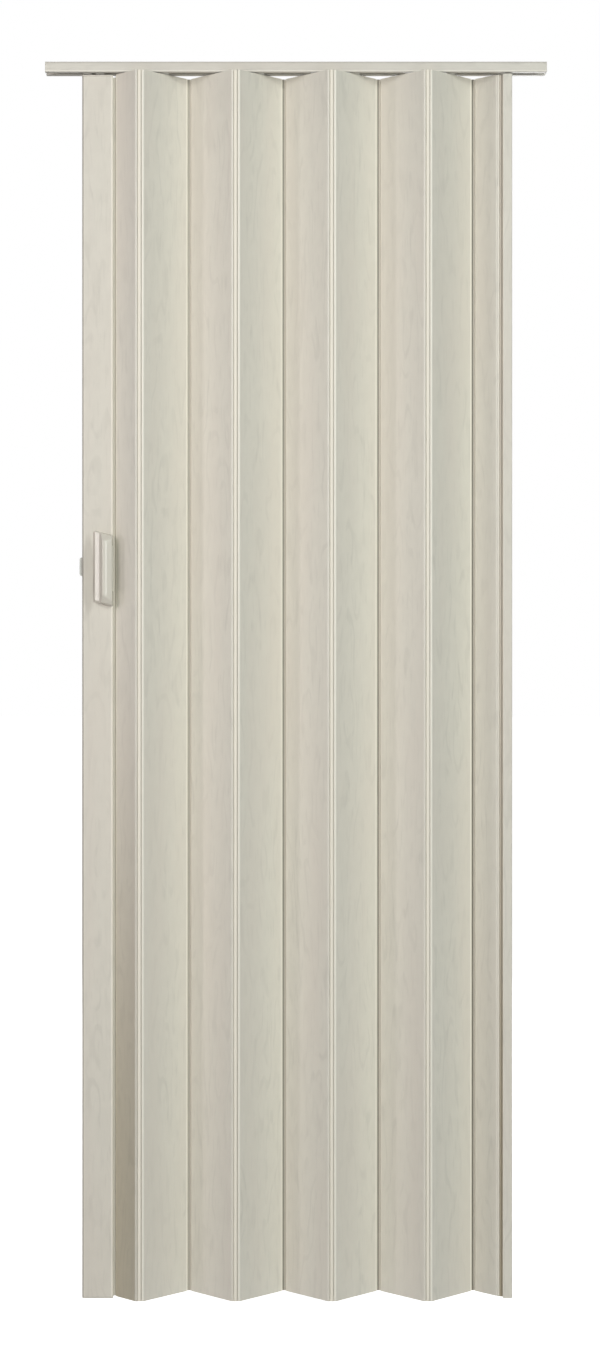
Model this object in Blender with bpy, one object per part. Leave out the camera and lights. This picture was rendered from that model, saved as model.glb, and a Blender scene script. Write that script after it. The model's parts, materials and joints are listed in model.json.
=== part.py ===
"""An accordion door: rigid hollow vinyl panels joined by flexible hinge strips, hung from an overhead track.

Metres, +Z up. The origin is the centre of the track's top face. +X runs along the track to the post that is
fixed to the wall, and -Y faces the viewer. The door is partly folded. Every panel keeps its middle under the
track, and every hinge strip and post stays parallel to it, so one angle sets the whole chain.
"""

import math

import bmesh
import bpy
from mathutils import Vector

# Track: a C channel with its slot underneath
TRACK_LENGTH = 0.813
TRACK_WIDTH = 0.031
TRACK_HEIGHT = 0.017
TRACK_WALL = 0.0016
TRACK_SLOT = 0.0106
TRACK_BAND = 0.0034
TRACK_BAND_STEP = 0.0005
TRACK_CORNER = 0.0016
TRACK_HOLE_RADIUS = 0.0023
TRACK_HOLE_COUNT = 4
TRACK_HOLE_END = 0.090

# Folding panels
PANEL_COUNT = 7
PANEL_PIVOTS = 0.095
PANEL_THICK = 0.007
PANEL_WALL = 0.001
PANEL_CORNER = 0.0012
SIDE_CHAMBER_COUNT = 2
LEAF_LENGTH = 1.9846
PANEL_DROP = 0.0012

# Hinge socket along each panel edge, and the strip whose beads turn in it
SOCKET_RADIUS = 0.0024
SOCKET_WALL = 0.00065
WEB_THICK = 0.0008
PAD_CORNER = 0.0006
STACK_GAP = 0.0015
FOLD_SHOWN = math.radians(44.0)
FOLD_CLOSED = math.radians(37.3)

# Posts: the lead post carries the handle, the jamb post is screwed to the wall
POST_WALL = 0.0015
POST_INNER_WALL = 0.0012
POST_LIP = 0.0006
LEAD_WIDTH = 0.050
LEAD_DEPTH = 0.017
LEAD_CORNER = 0.003
LEAD_REVEAL = 0.006
LEAD_DROP = 0.0033
LEAD_BACK_CHAMBER = 0.0339
CAP_THICK = 0.002
CAP_PLUG_DEPTH = 0.004
CAP_PLUG_CORNER = 0.001
JAMB_WIDTH = 0.0149
JAMB_DEPTH = 0.0264
JAMB_CORNER = 0.0012
JAMB_REVEAL = 0.0065
JAMB_DROP = 0.002
JAMB_INSET = 0.0561

# Trolleys: a wheel pair, a carriage and a swivel pin
WHEEL_RADIUS = 0.0057
WHEEL_WIDTH = 0.005
WHEEL_HUB_RADIUS = 0.003
WHEEL_CROWN = 0.00045
AXLE_RADIUS = 0.0015
SNAP_THROAT = 0.00255
CARRIAGE_LENGTH = 0.014
CARRIAGE_HEADROOM = 0.003
CARRIAGE_FOOT = 0.0006
PIN_RADIUS = 0.0012
PIN_HEAD_RADIUS = 0.0024
PIN_HEAD_THICK = 0.0012
PIN_FOOT_RADIUS = 0.002
PIN_FOOT_THICK = 0.0015
HANGER_POCKET = 0.016
HANGER_LENGTH = 0.0152
HANGER_HEIGHT = 0.0158
LEAD_TROLLEY_SPACING = 0.020
JAMB_HANGER_DEPTH = 0.012
JAMB_HANGER_BLOCK = 0.010

# Handle, the same moulding on both faces of the lead post
HANDLE_WIDTH = 0.0306
HANDLE_SIDE = 0.1155
HANDLE_DEPTH = 0.024
HANDLE_SLANT = 0.0075
HANDLE_END_DRAFT = 0.0015
HANDLE_END_BEVEL = 0.012
HANDLE_END_DEPTH = 0.014
HANDLE_ROUND = 0.0016
FLANGE_WIDTH = 0.010
FLANGE_EDGE = 0.0045
FLANGE_DEPTH = 0.010
GRIP_WALL_RUN = 0.0046
GRIP_CREST = 0.006
GRIP_CREST_FALL = 0.0008
GRIP_FALL = 0.0055
HANDLE_OVERHANG = 0.0007
HANDLE_DROP = 0.821
GRIP_DEPTH = 0.015
GRIP_HEIGHT = 0.074
GRIP_BASE = 0.0025
GRIP_FRONT = 0.008
GRIP_ROUND = 0.003
SCREW_SPACING = 0.092
SCREW_RADIUS = 0.0012
SCREW_HEAD_RADIUS = 0.0031
SCREW_HEAD_THICK = 0.002
SCREW_HEAD_TOP_RADIUS = 0.0022
SCREW_SEAT = 0.004
SCREW_BITE = 0.008
SCREW_SIDE = 0.004

# Latch: a bolt in the lead post's edge, moved by a crank pin on the thumb turn behind
LATCH_RISE = 0.003
BOLT_REACH = 0.0046
BOLT_NOSE_HEIGHT = 0.030
BOLT_NOSE_THICK = 0.006
BOLT_NOSE_CORNER = 0.0035
BOLT_BODY_HEIGHT = 0.036
BOLT_BODY_LENGTH = 0.018
BOLT_BODY_CORNER = 0.001
TURN_AXIS_INSET = 0.0103
TURN_SPINDLE_RADIUS = 0.0052
TURN_ROSE_RADIUS = 0.008
TURN_ROSE_THICK = 0.002
TURN_GRIP_THICK = 0.004
TURN_GRIP_DEPTH = 0.009
TURN_GRIP_CORNER = 0.0018
CRANK_RADIUS = 0.0036
CRANK_PIN_RADIUS = 0.0015
CRANK_PIN_LENGTH = 0.004
CRANK_START = math.radians(43.0)

# Clearances
FIT_GAP = 0.0003
WEB_GAP = 0.00035
PAD_GAP = 0.00035
RECESS_GAP = 0.0005
RUN_GAP = 0.0005

# Facets
BORE_STEPS = 12
BEAD_STEPS = 10
CORNER_STEPS = 3
ROUND_STEPS = 16
PIN_STEPS = 12
TURN_STEPS = 24

# Worked out from the sizes above
PIVOT_OFFSET = PANEL_THICK / 2 - SOCKET_RADIUS
SOCKET_BORE = SOCKET_RADIUS - SOCKET_WALL
BEAD_RADIUS = SOCKET_BORE - FIT_GAP
END_SETBACK = WEB_THICK / 2 + WEB_GAP
HINGE_SPAN = 2 * (PANEL_THICK - SOCKET_RADIUS) + STACK_GAP
JAMB_PIVOT_X = TRACK_LENGTH / 2 - JAMB_INSET - JAMB_WIDTH - JAMB_REVEAL
PANEL_TOP = -TRACK_HEIGHT - PANEL_DROP
LEAF_MIDDLE = PANEL_TOP - LEAF_LENGTH / 2
JAMB_TOP = -TRACK_HEIGHT - JAMB_DROP
LEAD_TOP = -TRACK_HEIGHT - LEAD_DROP
LEAD_EXTRUSION = LEAF_LENGTH - 2 * CAP_THICK
HANGER_THICK = PANEL_THICK - 2 * PANEL_WALL - 2 * FIT_GAP
HANGER_BOTTOM = PANEL_TOP - HANGER_HEIGHT
AXLE_Z = -TRACK_HEIGHT + TRACK_WALL + FIT_GAP + WHEEL_RADIUS
CARRIAGE_WIDTH = TRACK_SLOT - 2 * RUN_GAP
CARRIAGE_TOP = -TRACK_WALL - CARRIAGE_HEADROOM
CARRIAGE_BOTTOM = -TRACK_HEIGHT - CARRIAGE_FOOT
PIN_HEAD_TOP = AXLE_Z - AXLE_RADIUS - 3 * FIT_GAP
PIN_FOOT_TOP = HANGER_BOTTOM - FIT_GAP
LEAD_CHAMBER_X = -LEAD_REVEAL - LEAD_WIDTH + POST_WALL + LEAD_BACK_CHAMBER / 2
LATCH_DROP = HANDLE_DROP - LATCH_RISE


def linear(*levels):
    """A colour from its 8-bit display levels."""
    shares = [level / 255 for level in levels]
    return [s / 12.92 if s <= 0.04045 else ((s + 0.055) / 1.055) ** 2.4 for s in shares] + [1.0]


def material(name, colour, roughness, metallic=0.0):
    made = bpy.data.materials.new(name)
    made.use_nodes = True
    shader = made.node_tree.nodes["Principled BSDF"]
    shader.inputs["Base Color"].default_value = colour
    shader.inputs["Roughness"].default_value = roughness
    shader.inputs["Metallic"].default_value = metallic
    made.diffuse_color = colour
    return made


def arc(centre, radius, start, end, steps):
    """Points along a circular arc, with both of its ends."""
    angles = [start + (end - start) * step / steps for step in range(steps + 1)]
    return [(centre[0] + radius * math.cos(a), centre[1] + radius * math.sin(a)) for a in angles]


def circle(centre, radius, steps=ROUND_STEPS):
    return arc(centre, radius, 0, 2 * math.pi, steps)[:-1]


def rounded(corners, radii, steps=CORNER_STEPS):
    """The polygon with each corner turned into an arc of its own radius. A radius of 0 keeps it sharp."""
    points = []
    for index, (corner, radius) in enumerate(zip(corners, radii)):
        if radius == 0:
            points.append(tuple(corner))
            continue
        here = Vector(corner)
        back = (Vector(corners[index - 1]) - here).normalized()
        ahead = (Vector(corners[(index + 1) % len(corners)]) - here).normalized()
        half = back.angle(ahead) / 2
        centre = here + (back + ahead).normalized() * radius / math.sin(half)
        first = (here + back * radius / math.tan(half) - centre).normalized()
        last = (here + ahead * radius / math.tan(half) - centre).normalized()
        turns = [first.slerp(last, step / steps) for step in range(steps + 1)]
        points += [tuple(centre + turn * radius) for turn in turns]
    return points


def rectangle(low_x, high_x, low_y, high_y):
    return [(low_x, low_y), (high_x, low_y), (high_x, high_y), (low_x, high_y)]


def moved(points, x, y):
    return [(a + x, b + y) for a, b in points]


def finished(name, bm):
    bmesh.ops.recalc_face_normals(bm, faces=bm.faces)
    mesh = bpy.data.meshes.new(name)
    bm.to_mesh(mesh)
    bm.free()
    return mesh


def prism(name, outline, low, high, chambers=(), along="Z"):
    """A closed extrusion of an outline, with open chambers through it.

    Along Z the outline is (x, y), along Y it is (x, z) and along X it is (y, z).
    """
    place = {
        "Z": lambda a, b: (a, b, low),
        "Y": lambda a, b: (a, low, b),
        "X": lambda a, b: (low, a, b),
    }[along]
    direction = {"Z": (0, 0, 1), "Y": (0, 1, 0), "X": (1, 0, 0)}[along]
    bm = bmesh.new()
    edges = []
    for loop in [outline, *chambers]:
        corners = [bm.verts.new(place(a, b)) for a, b in loop]
        edges += [bm.edges.new(pair) for pair in zip(corners, corners[1:] + corners[:1])]
    filled = bmesh.ops.triangle_fill(bm, use_beauty=True, edges=edges)
    faces = [item for item in filled["geom"] if isinstance(item, bmesh.types.BMFace)]
    raised = bmesh.ops.extrude_face_region(bm, geom=faces)
    top = [item for item in raised["geom"] if isinstance(item, bmesh.types.BMVert)]
    bmesh.ops.translate(bm, verts=top, vec=Vector(direction) * (high - low))
    return finished(name, bm)


def turned(name, profile, along="Z", steps=ROUND_STEPS):
    """A solid of revolution from (radius, height) points that start and end on the axis."""
    place = {"Z": lambda r, h: (r, 0, h), "Y": lambda r, h: (r, h, 0)}[along]
    axis = {"Z": (0, 0, 1), "Y": (0, 1, 0)}[along]
    bm = bmesh.new()
    points = [bm.verts.new(place(r, h)) for r, h in profile]
    edges = [bm.edges.new(pair) for pair in zip(points, points[1:])]
    bmesh.ops.spin(
        bm, geom=points + edges, cent=(0, 0, 0), axis=axis, angle=2 * math.pi, steps=steps
    )
    bmesh.ops.remove_doubles(bm, verts=bm.verts, dist=1e-6)
    mesh = finished(name, bm)
    mesh.shade_smooth()
    mesh.set_sharp_from_angle(angle=math.radians(40))
    return mesh


def placed(name, mesh, look, parent=None, location=(0, 0, 0), rotation=(0, 0, 0)):
    """One named sub-part, with its material, on the joint that carries it."""
    if not mesh.materials:
        mesh.materials.append(look)
    part = bpy.data.objects.new(name, mesh)
    bpy.context.scene.collection.objects.link(part)
    part.parent = parent
    part.location = location
    part.rotation_euler = rotation
    return part


def shaped(part, operation, *tools):
    """Cuts the tools out of a part, or joins them to it, and hides them."""
    for tool in tools:
        tool.hide_render = True
        tool.display_type = "WIRE"
        boolean = part.modifiers.new(tool.name, "BOOLEAN")
        boolean.operation = operation
        boolean.object = tool
    return part


def settled(part):
    """The part's mesh with its modifiers applied, for copies to share."""
    bpy.context.view_layer.update()
    graph = bpy.context.evaluated_depsgraph_get()
    mesh = bpy.data.meshes.new_from_object(part.evaluated_get(graph))
    mesh.name = part.name
    for modifier in part.modifiers:
        bpy.data.objects.remove(modifier.object)
    bpy.data.objects.remove(part)
    return mesh


def axis_empty(name, parent, location, turn=0.0):
    """A joint's axis, upright, turned about itself and carried by the joint before it."""
    empty = bpy.data.objects.new(name, None)
    empty.empty_display_size = 0.02
    bpy.context.scene.collection.objects.link(empty)
    empty.parent = parent
    empty.location = location
    empty.rotation_euler = (0, 0, turn)
    return empty


# Panels and hinge strips


def socket_end(above, below):
    """The left end of a panel round a hinge socket at (0, 0), from its upper face to its lower face.

    The C opens from the panel's own line round to its upper side, as far as the strip's web turns. The end
    wall stands back from the socket, so that the web can lie across it when the door is stacked.
    """
    web_angle = math.asin((WEB_THICK / 2 + FIT_GAP) / SOCKET_BORE)
    lip = math.pi - FOLD_CLOSED + web_angle
    upper = math.acos(END_SETBACK / SOCKET_BORE)
    corner = (END_SETBACK + PANEL_CORNER, above - PANEL_CORNER)
    points = arc(corner, PANEL_CORNER, math.pi / 2, math.pi, CORNER_STEPS)
    points += arc((0, 0), SOCKET_BORE, upper, lip - 2 * math.pi, BORE_STEPS)
    if below - SOCKET_RADIUS < FIT_GAP:
        return points + arc((0, 0), SOCKET_RADIUS, lip, 3 * math.pi / 2, BORE_STEPS // 2)
    leave = 3 * math.pi / 2 + math.asin(END_SETBACK / SOCKET_RADIUS)
    points += arc((0, 0), SOCKET_RADIUS, lip, leave, BORE_STEPS // 2)
    shoulder = below - SOCKET_RADIUS * math.cos(leave - 3 * math.pi / 2)
    return points + [(END_SETBACK + shoulder, -below)]


def divided(start, end, count):
    """Equal spans from start to end with a wall between each two."""
    step = (end - start + PANEL_WALL) / count
    return [(start + i * step, start + (i + 1) * step - PANEL_WALL) for i in range(count)]


def panel_chambers(spans, middle):
    half = PANEL_THICK / 2 - PANEL_WALL
    return [rectangle(a, b, middle - half, middle + half) for a, b in spans]


def panel_mesh():
    """A full panel with its right socket on the origin and its left one a thickness step below.

    The same extrusion turned upside down is the panel that folds the other way.
    """
    end = socket_end(PANEL_THICK - SOCKET_RADIUS, SOCKET_RADIUS)
    outline = moved(end, -PANEL_PIVOTS, -2 * PIVOT_OFFSET) + [(-x, -y) for x, y in end]
    inset = SOCKET_RADIUS + PANEL_WALL
    pocket = (-PANEL_PIVOTS / 2 - HANGER_POCKET / 2, -PANEL_PIVOTS / 2 + HANGER_POCKET / 2)
    spans = divided(-PANEL_PIVOTS + inset, pocket[0] - PANEL_WALL, SIDE_CHAMBER_COUNT)
    spans += [pocket] + divided(pocket[1] + PANEL_WALL, -inset, SIDE_CHAMBER_COUNT)
    chambers = panel_chambers(spans, -PIVOT_OFFSET)
    return prism("panel", outline, -LEAF_LENGTH / 2, LEAF_LENGTH / 2, chambers)


def half_panel_mesh():
    """A half panel, from a socket in the middle of its thickness at the origin to a corner socket."""
    inner = socket_end(PANEL_THICK / 2, PANEL_THICK / 2)
    outer = [(-x, -y) for x, y in socket_end(PANEL_THICK - SOCKET_RADIUS, SOCKET_RADIUS)]
    outline = inner + moved(outer, PANEL_PIVOTS / 2, PIVOT_OFFSET)
    inset = SOCKET_RADIUS + PANEL_WALL
    chambers = panel_chambers(divided(inset, PANEL_PIVOTS / 2 - inset, SIDE_CHAMBER_COUNT), 0)
    return prism("half_panel", outline, -LEAF_LENGTH / 2, LEAF_LENGTH / 2, chambers)


def strip_mesh(name, length):
    """A hinge strip: a thin web between two beads, with a pad that fills the joint flush with the sockets.

    The right bead is on the origin and the pad faces -Y.
    """
    neck = math.asin(WEB_THICK / 2 / BEAD_RADIUS)
    pad_right = -SOCKET_RADIUS - PAD_GAP
    pad_left = -HINGE_SPAN - pad_right
    pad = [
        (pad_left, -WEB_THICK / 2),
        (pad_left, -SOCKET_RADIUS),
        (pad_right, -SOCKET_RADIUS),
        (pad_right, -WEB_THICK / 2),
    ]
    outline = arc((0, 0), BEAD_RADIUS, neck - math.pi, math.pi - neck, BEAD_STEPS)
    outline += arc((-HINGE_SPAN, 0), BEAD_RADIUS, neck, 2 * math.pi - neck, BEAD_STEPS)
    outline += rounded(pad, [0, PAD_CORNER, PAD_CORNER, 0], CORNER_STEPS - 1)
    return prism(name, outline, -length / 2, length / 2)


def folding_chain(vinyl, soft_vinyl):
    """Hangs the panels from the jamb post to the lead post. Returns the lead post's axis and each panel's."""
    panel = panel_mesh()
    half_panel = half_panel_mesh()
    strip = strip_mesh("hinge_strip", LEAF_LENGTH)
    upside_down = (math.pi, 0, 0)
    half_way = (-PANEL_PIVOTS / 2, PIVOT_OFFSET, 0)
    ridges = (PANEL_COUNT + 1) // 2

    axis = axis_empty("half_panel_right_axis", None, (JAMB_PIVOT_X, 0, LEAF_MIDDLE), -FOLD_SHOWN)
    placed("half_panel_right", half_panel, vinyl, axis, rotation=(0, math.pi, 0))
    end = half_way
    panel_axes = {}
    for number in range(ridges, 0, -1):
        axis = axis_empty(f"valley_strip_{number}_axis", axis, end, FOLD_SHOWN)
        placed(f"valley_strip_{number}", strip, soft_vinyl, axis, rotation=upside_down)
        odd = 2 * number - 1
        axis = axis_empty(f"panel_{odd}_axis", axis, (-HINGE_SPAN, 0, 0), FOLD_SHOWN)
        placed(f"panel_{odd}", panel, vinyl, axis)
        panel_axes[odd] = axis
        end = (-PANEL_PIVOTS, -2 * PIVOT_OFFSET, 0)
        axis = axis_empty(f"ridge_strip_{number}_axis", axis, end, -FOLD_SHOWN)
        placed(f"ridge_strip_{number}", strip, soft_vinyl, axis)
        if number > 1:
            even = odd - 1
            axis = axis_empty(f"panel_{even}_axis", axis, (-HINGE_SPAN, 0, 0), -FOLD_SHOWN)
            placed(f"panel_{even}", panel, vinyl, axis, rotation=upside_down)
            end = (-PANEL_PIVOTS, 2 * PIVOT_OFFSET, 0)
    axis = axis_empty("half_panel_left_axis", axis, (-HINGE_SPAN, 0, 0), -FOLD_SHOWN)
    placed("half_panel_left", half_panel, vinyl, axis, half_way, upside_down)
    return axis_empty("lead_post_axis", axis, half_way, FOLD_SHOWN), panel_axes


# Posts


def post_outline(reveal, width, depth, radius):
    """A post that ends in a recess with a bead socket at its foot, hinged at the origin to its right."""
    edge = -reveal
    far = edge - width
    half = depth / 2
    mouth = SOCKET_RADIUS + RECESS_GAP
    slot = math.asin((WEB_THICK / 2 + FIT_GAP) / SOCKET_BORE)
    floor = -HINGE_SPAN + SOCKET_BORE * math.cos(slot) + POST_LIP
    body = [(edge, mouth), (edge, half), (far, half), (far, -half), (edge, -half), (edge, -mouth)]
    points = rounded(body, [0, radius / 2, radius, radius, radius / 2, 0])
    points += [(floor, -mouth), (floor, -SOCKET_BORE * math.sin(slot))]
    points += arc((-HINGE_SPAN, 0), SOCKET_BORE, -slot, slot - 2 * math.pi, BORE_STEPS)
    return points + [(floor, SOCKET_BORE * math.sin(slot)), (floor, mouth)]


def post_chamber(reveal, depth, left):
    """The chamber beside the strip, which goes round the wall of the recess and its socket."""
    right = -reveal - POST_WALL
    half = depth / 2 - POST_WALL
    boss = SOCKET_RADIUS + RECESS_GAP + POST_INNER_WALL
    boss_left = -HINGE_SPAN - SOCKET_BORE - SOCKET_WALL
    return [
        (left, half),
        (left, -half),
        (right, -half),
        (right, -boss),
        (boss_left, -boss),
        (boss_left, boss),
        (right, boss),
        (right, half),
    ]


def lead_cap(name, look, axis, upward, holes=()):
    """A cap over one end of the lead post, with a plug in the wide chamber.

    upward is 1 for the top cap and -1 for the bottom one.
    """
    left = -LEAD_REVEAL - LEAD_WIDTH
    half = LEAD_DEPTH / 2
    seat = LEAD_TOP - CAP_THICK if upward > 0 else LEAD_TOP - CAP_THICK - LEAD_EXTRUSION
    deep = HANGER_BOTTOM if upward > 0 else seat + CAP_PLUG_DEPTH
    plate = rounded(
        rectangle(left, -LEAD_REVEAL, -half, half),
        [LEAD_CORNER, LEAD_CORNER / 2, LEAD_CORNER / 2, LEAD_CORNER],
    )
    inner = half - POST_WALL - FIT_GAP
    reach = LEAD_BACK_CHAMBER / 2 - FIT_GAP
    plug = rounded(
        rectangle(LEAD_CHAMBER_X - reach, LEAD_CHAMBER_X + reach, -inner, inner), [CAP_PLUG_CORNER] * 4
    )
    below, above = sorted((seat + upward * FIT_GAP, seat + upward * CAP_THICK))
    inside, outside = sorted((deep, (below + above) / 2))
    bores = [circle((x, 0), PIN_RADIUS + FIT_GAP, PIN_STEPS) for x in holes]
    cap = placed(name + "_plate", prism(name, plate, below, above, bores), look)
    foot = placed(name + "_plug", prism(name, plug, inside, outside, bores), look)
    return placed(name, settled(shaped(cap, "UNION", foot)), look, axis, (0, 0, -LEAF_MIDDLE))


def lead_post(vinyl, soft_vinyl, axis):
    """The post at the free edge, cut for the latch and the handle's screws.

    Its strip has the pad at the back, out of the way of the half panel, which folds to the front.
    """
    outline = post_outline(LEAD_REVEAL, LEAD_WIDTH, LEAD_DEPTH, LEAD_CORNER)
    half = LEAD_DEPTH / 2 - POST_WALL
    reach = LEAD_BACK_CHAMBER / 2
    wide = rectangle(LEAD_CHAMBER_X - reach, LEAD_CHAMBER_X + reach, -half, half)
    narrow = post_chamber(LEAD_REVEAL, LEAD_DEPTH, LEAD_CHAMBER_X + reach + POST_INNER_WALL)
    high = LEAD_TOP - CAP_THICK
    low = high - LEAD_EXTRUSION
    up = (0, 0, -LEAF_MIDDLE)
    mesh = prism("lead_post", outline, low, high, [wide, narrow])
    post = placed("lead_post", mesh, vinyl, axis, up)

    through = LEAD_DEPTH
    cutters = []
    for index, z in enumerate(screw_heights()):
        hole = circle((handle_x() - SCREW_SIDE, z), SCREW_RADIUS + FIT_GAP, PIN_STEPS)
        drill = prism("hole", hole, -through, through, along="Y")
        cutters.append(placed(f"screw_hole_{index}", drill, vinyl))
    turn = circle((turn_x(), -LATCH_DROP), TURN_SPINDLE_RADIUS + FIT_GAP, TURN_STEPS)
    cutters.append(placed("turn_hole", prism("hole", turn, 0, through, along="Y"), vinyl))
    left = -LEAD_REVEAL - LEAD_WIDTH
    nose = rectangle(
        -BOLT_NOSE_THICK / 2 - FIT_GAP,
        BOLT_NOSE_THICK / 2 + FIT_GAP,
        -LATCH_DROP - BOLT_NOSE_HEIGHT / 2 - FIT_GAP,
        -LATCH_DROP + BOLT_NOSE_HEIGHT / 2 + FIT_GAP,
    )
    slot = prism("hole", nose, left - POST_WALL, left + 2 * POST_WALL, along="X")
    cutters.append(placed("bolt_slot", slot, vinyl))
    for cutter in cutters:
        cutter.parent = axis
        cutter.location = up
    shaped(post, "DIFFERENCE", *cutters)

    length = LEAD_EXTRUSION - 2 * FIT_GAP
    strip = strip_mesh("lead_hinge_strip", length)
    middle = (0, 0, high - FIT_GAP - length / 2 - LEAF_MIDDLE)
    placed("lead_hinge_strip", strip, soft_vinyl, axis, middle, (math.pi, 0, 0))


def jamb_post(vinyl, soft_vinyl, nylon):
    """The post on the wall, its hinge strip, and the block that holds its head under the track."""
    outline = post_outline(JAMB_REVEAL, JAMB_WIDTH, JAMB_DEPTH, JAMB_CORNER)
    far = -JAMB_REVEAL - JAMB_WIDTH + POST_WALL
    chamber = post_chamber(JAMB_REVEAL, JAMB_DEPTH, far)
    middle = JAMB_TOP - LEAF_LENGTH / 2
    spot = (JAMB_PIVOT_X, 0, middle)
    mesh = prism("jamb_post", outline, -LEAF_LENGTH / 2, LEAF_LENGTH / 2, [chamber])
    placed("jamb_post", mesh, vinyl, None, spot, (0, 0, math.pi))
    strip = strip_mesh("jamb_hinge_strip", LEAF_LENGTH)
    placed("jamb_hinge_strip", strip, soft_vinyl, None, (JAMB_PIVOT_X + HINGE_SPAN, 0, middle))

    plug_left = HINGE_SPAN + SOCKET_BORE + SOCKET_WALL + FIT_GAP
    plug_right = -far - FIT_GAP
    block = TRACK_WIDTH / 2 - TRACK_BAND_STEP - TRACK_WALL - FIT_GAP
    neck = CARRIAGE_WIDTH / 2
    plug = JAMB_DEPTH / 2 - POST_WALL - FIT_GAP
    shelf = -TRACK_HEIGHT + TRACK_WALL + FIT_GAP
    top = shelf + JAMB_HANGER_BLOCK
    under = JAMB_TOP - FIT_GAP
    bottom = under - JAMB_HANGER_DEPTH
    right_side = [(plug, bottom), (plug, under), (neck, under), (neck, shelf), (block, shelf), (block, top)]
    outline = right_side + [(-y, z) for y, z in reversed(right_side)]
    mesh = prism("jamb_hanger", outline, plug_left, plug_right, along="X")
    placed("jamb_hanger", mesh, nylon, None, (JAMB_PIVOT_X, 0, 0))


# Track and trolleys


def track(vinyl):
    half = TRACK_WIDTH / 2
    side = half - TRACK_BAND_STEP
    inner = side - TRACK_WALL
    slot = TRACK_SLOT / 2
    band = -TRACK_HEIGHT + TRACK_BAND
    floor = -TRACK_HEIGHT + TRACK_WALL
    corners = [
        (slot, -TRACK_HEIGHT),
        (half, -TRACK_HEIGHT),
        (half, band),
        (side, band + TRACK_BAND_STEP),
        (side, 0),
        (0, 0),
    ]
    outside = rounded(corners, [0, TRACK_CORNER / 2, 0, 0, TRACK_CORNER, 0])[:-1]
    inside = [(inner, -TRACK_WALL), (inner, floor), (slot, floor)]
    outline = outside + [(-y, z) for y, z in reversed(outside)]
    outline += [(-y, z) for y, z in reversed(inside)] + inside
    mesh = prism("track", outline, -TRACK_LENGTH / 2, TRACK_LENGTH / 2, along="X")
    channel = placed("track", mesh, vinyl)
    first = -TRACK_LENGTH / 2 + TRACK_HOLE_END
    step = (TRACK_LENGTH - 2 * TRACK_HOLE_END) / (TRACK_HOLE_COUNT - 1)
    cutters = []
    for index in range(TRACK_HOLE_COUNT):
        hole = circle((first + index * step, 0), TRACK_HOLE_RADIUS, PIN_STEPS)
        drill = prism("hole", hole, -2 * TRACK_WALL, TRACK_WALL)
        cutters.append(placed(f"track_hole_{index}", drill, vinyl))
    shaped(channel, "DIFFERENCE", *cutters)


def keyhole(radius, end):
    """An outline round the origin with straight sides that run out to end along the first axis."""
    return arc((0, 0), radius, math.pi / 2, 3 * math.pi / 2, 8) + [(end, -radius), (end, radius)]


def carriage_mesh(nylon):
    """A block that fills the slot, with a snap-in bearing across it and a T slot for the pin along it."""
    long = CARRIAGE_LENGTH / 2
    wide = CARRIAGE_WIDTH / 2
    plan = rounded(rectangle(-long, long, -wide, wide), [wide / 2] * 4)
    block = placed("carriage", prism("carriage", plan, CARRIAGE_BOTTOM, CARRIAGE_TOP), nylon)
    bore = AXLE_RADIUS + FIT_GAP
    throat = SNAP_THROAT / 2
    snap = math.asin(throat / bore)
    bearing = arc((0, 0), bore, snap - math.pi, math.pi - snap, BORE_STEPS)
    bearing += [(-2 * long, throat), (-2 * long, -throat)]
    bearing = moved(bearing, 0, AXLE_Z)
    shank = keyhole(PIN_RADIUS + FIT_GAP, 2 * long)
    head = keyhole(PIN_HEAD_RADIUS + FIT_GAP, 2 * long)
    seat = PIN_HEAD_TOP - PIN_HEAD_THICK - FIT_GAP
    tools = [
        placed("bearing", prism("bearing", bearing, -2 * wide, 2 * wide, along="Y"), nylon),
        placed("shank_slot", prism("shank_slot", shank, 2 * CARRIAGE_BOTTOM, seat + FIT_GAP), nylon),
        placed("head_slot", prism("head_slot", head, seat, PIN_HEAD_TOP + FIT_GAP), nylon),
    ]
    return settled(shaped(block, "DIFFERENCE", *tools))


def wheel_pair_mesh():
    """Two flanged wheels on one moulded axle, turned about Y."""
    inner = CARRIAGE_WIDTH / 2 + 2 * RUN_GAP
    outer = inner + WHEEL_WIDTH
    side = [
        (0, -outer),
        (WHEEL_HUB_RADIUS, -outer),
        (WHEEL_HUB_RADIUS + WHEEL_CROWN, -outer + WHEEL_CROWN),
        (WHEEL_RADIUS - WHEEL_CROWN, -outer + WHEEL_CROWN),
        (WHEEL_RADIUS, -outer + 2 * WHEEL_CROWN),
        (WHEEL_RADIUS, -inner - WHEEL_CROWN),
        (WHEEL_RADIUS - WHEEL_CROWN, -inner),
        (AXLE_RADIUS, -inner),
    ]
    return turned("wheel_pair", side + [(r, -y) for r, y in reversed(side)], along="Y")


def pin_mesh():
    """A swivel pin from its head in the carriage to its foot under the hanger."""
    under_head = PIN_HEAD_TOP - PIN_HEAD_THICK
    profile = [
        (0, PIN_FOOT_TOP - PIN_FOOT_THICK),
        (PIN_FOOT_RADIUS, PIN_FOOT_TOP - PIN_FOOT_THICK),
        (PIN_FOOT_RADIUS, PIN_FOOT_TOP),
        (PIN_RADIUS, PIN_FOOT_TOP),
        (PIN_RADIUS, under_head),
        (PIN_HEAD_RADIUS, under_head),
        (PIN_HEAD_RADIUS, PIN_HEAD_TOP),
        (0, PIN_HEAD_TOP),
    ]
    return turned("trolley_pin", profile, steps=PIN_STEPS)


def hanger_mesh():
    long = HANGER_LENGTH / 2
    thick = HANGER_THICK / 2
    plan = rounded(rectangle(-long, long, -thick, thick), [thick / 3] * 4, 1)
    bore = circle((0, 0), PIN_RADIUS + FIT_GAP, PIN_STEPS)
    return prism("panel_hanger", plan, HANGER_BOTTOM, PANEL_TOP, [bore])


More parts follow.
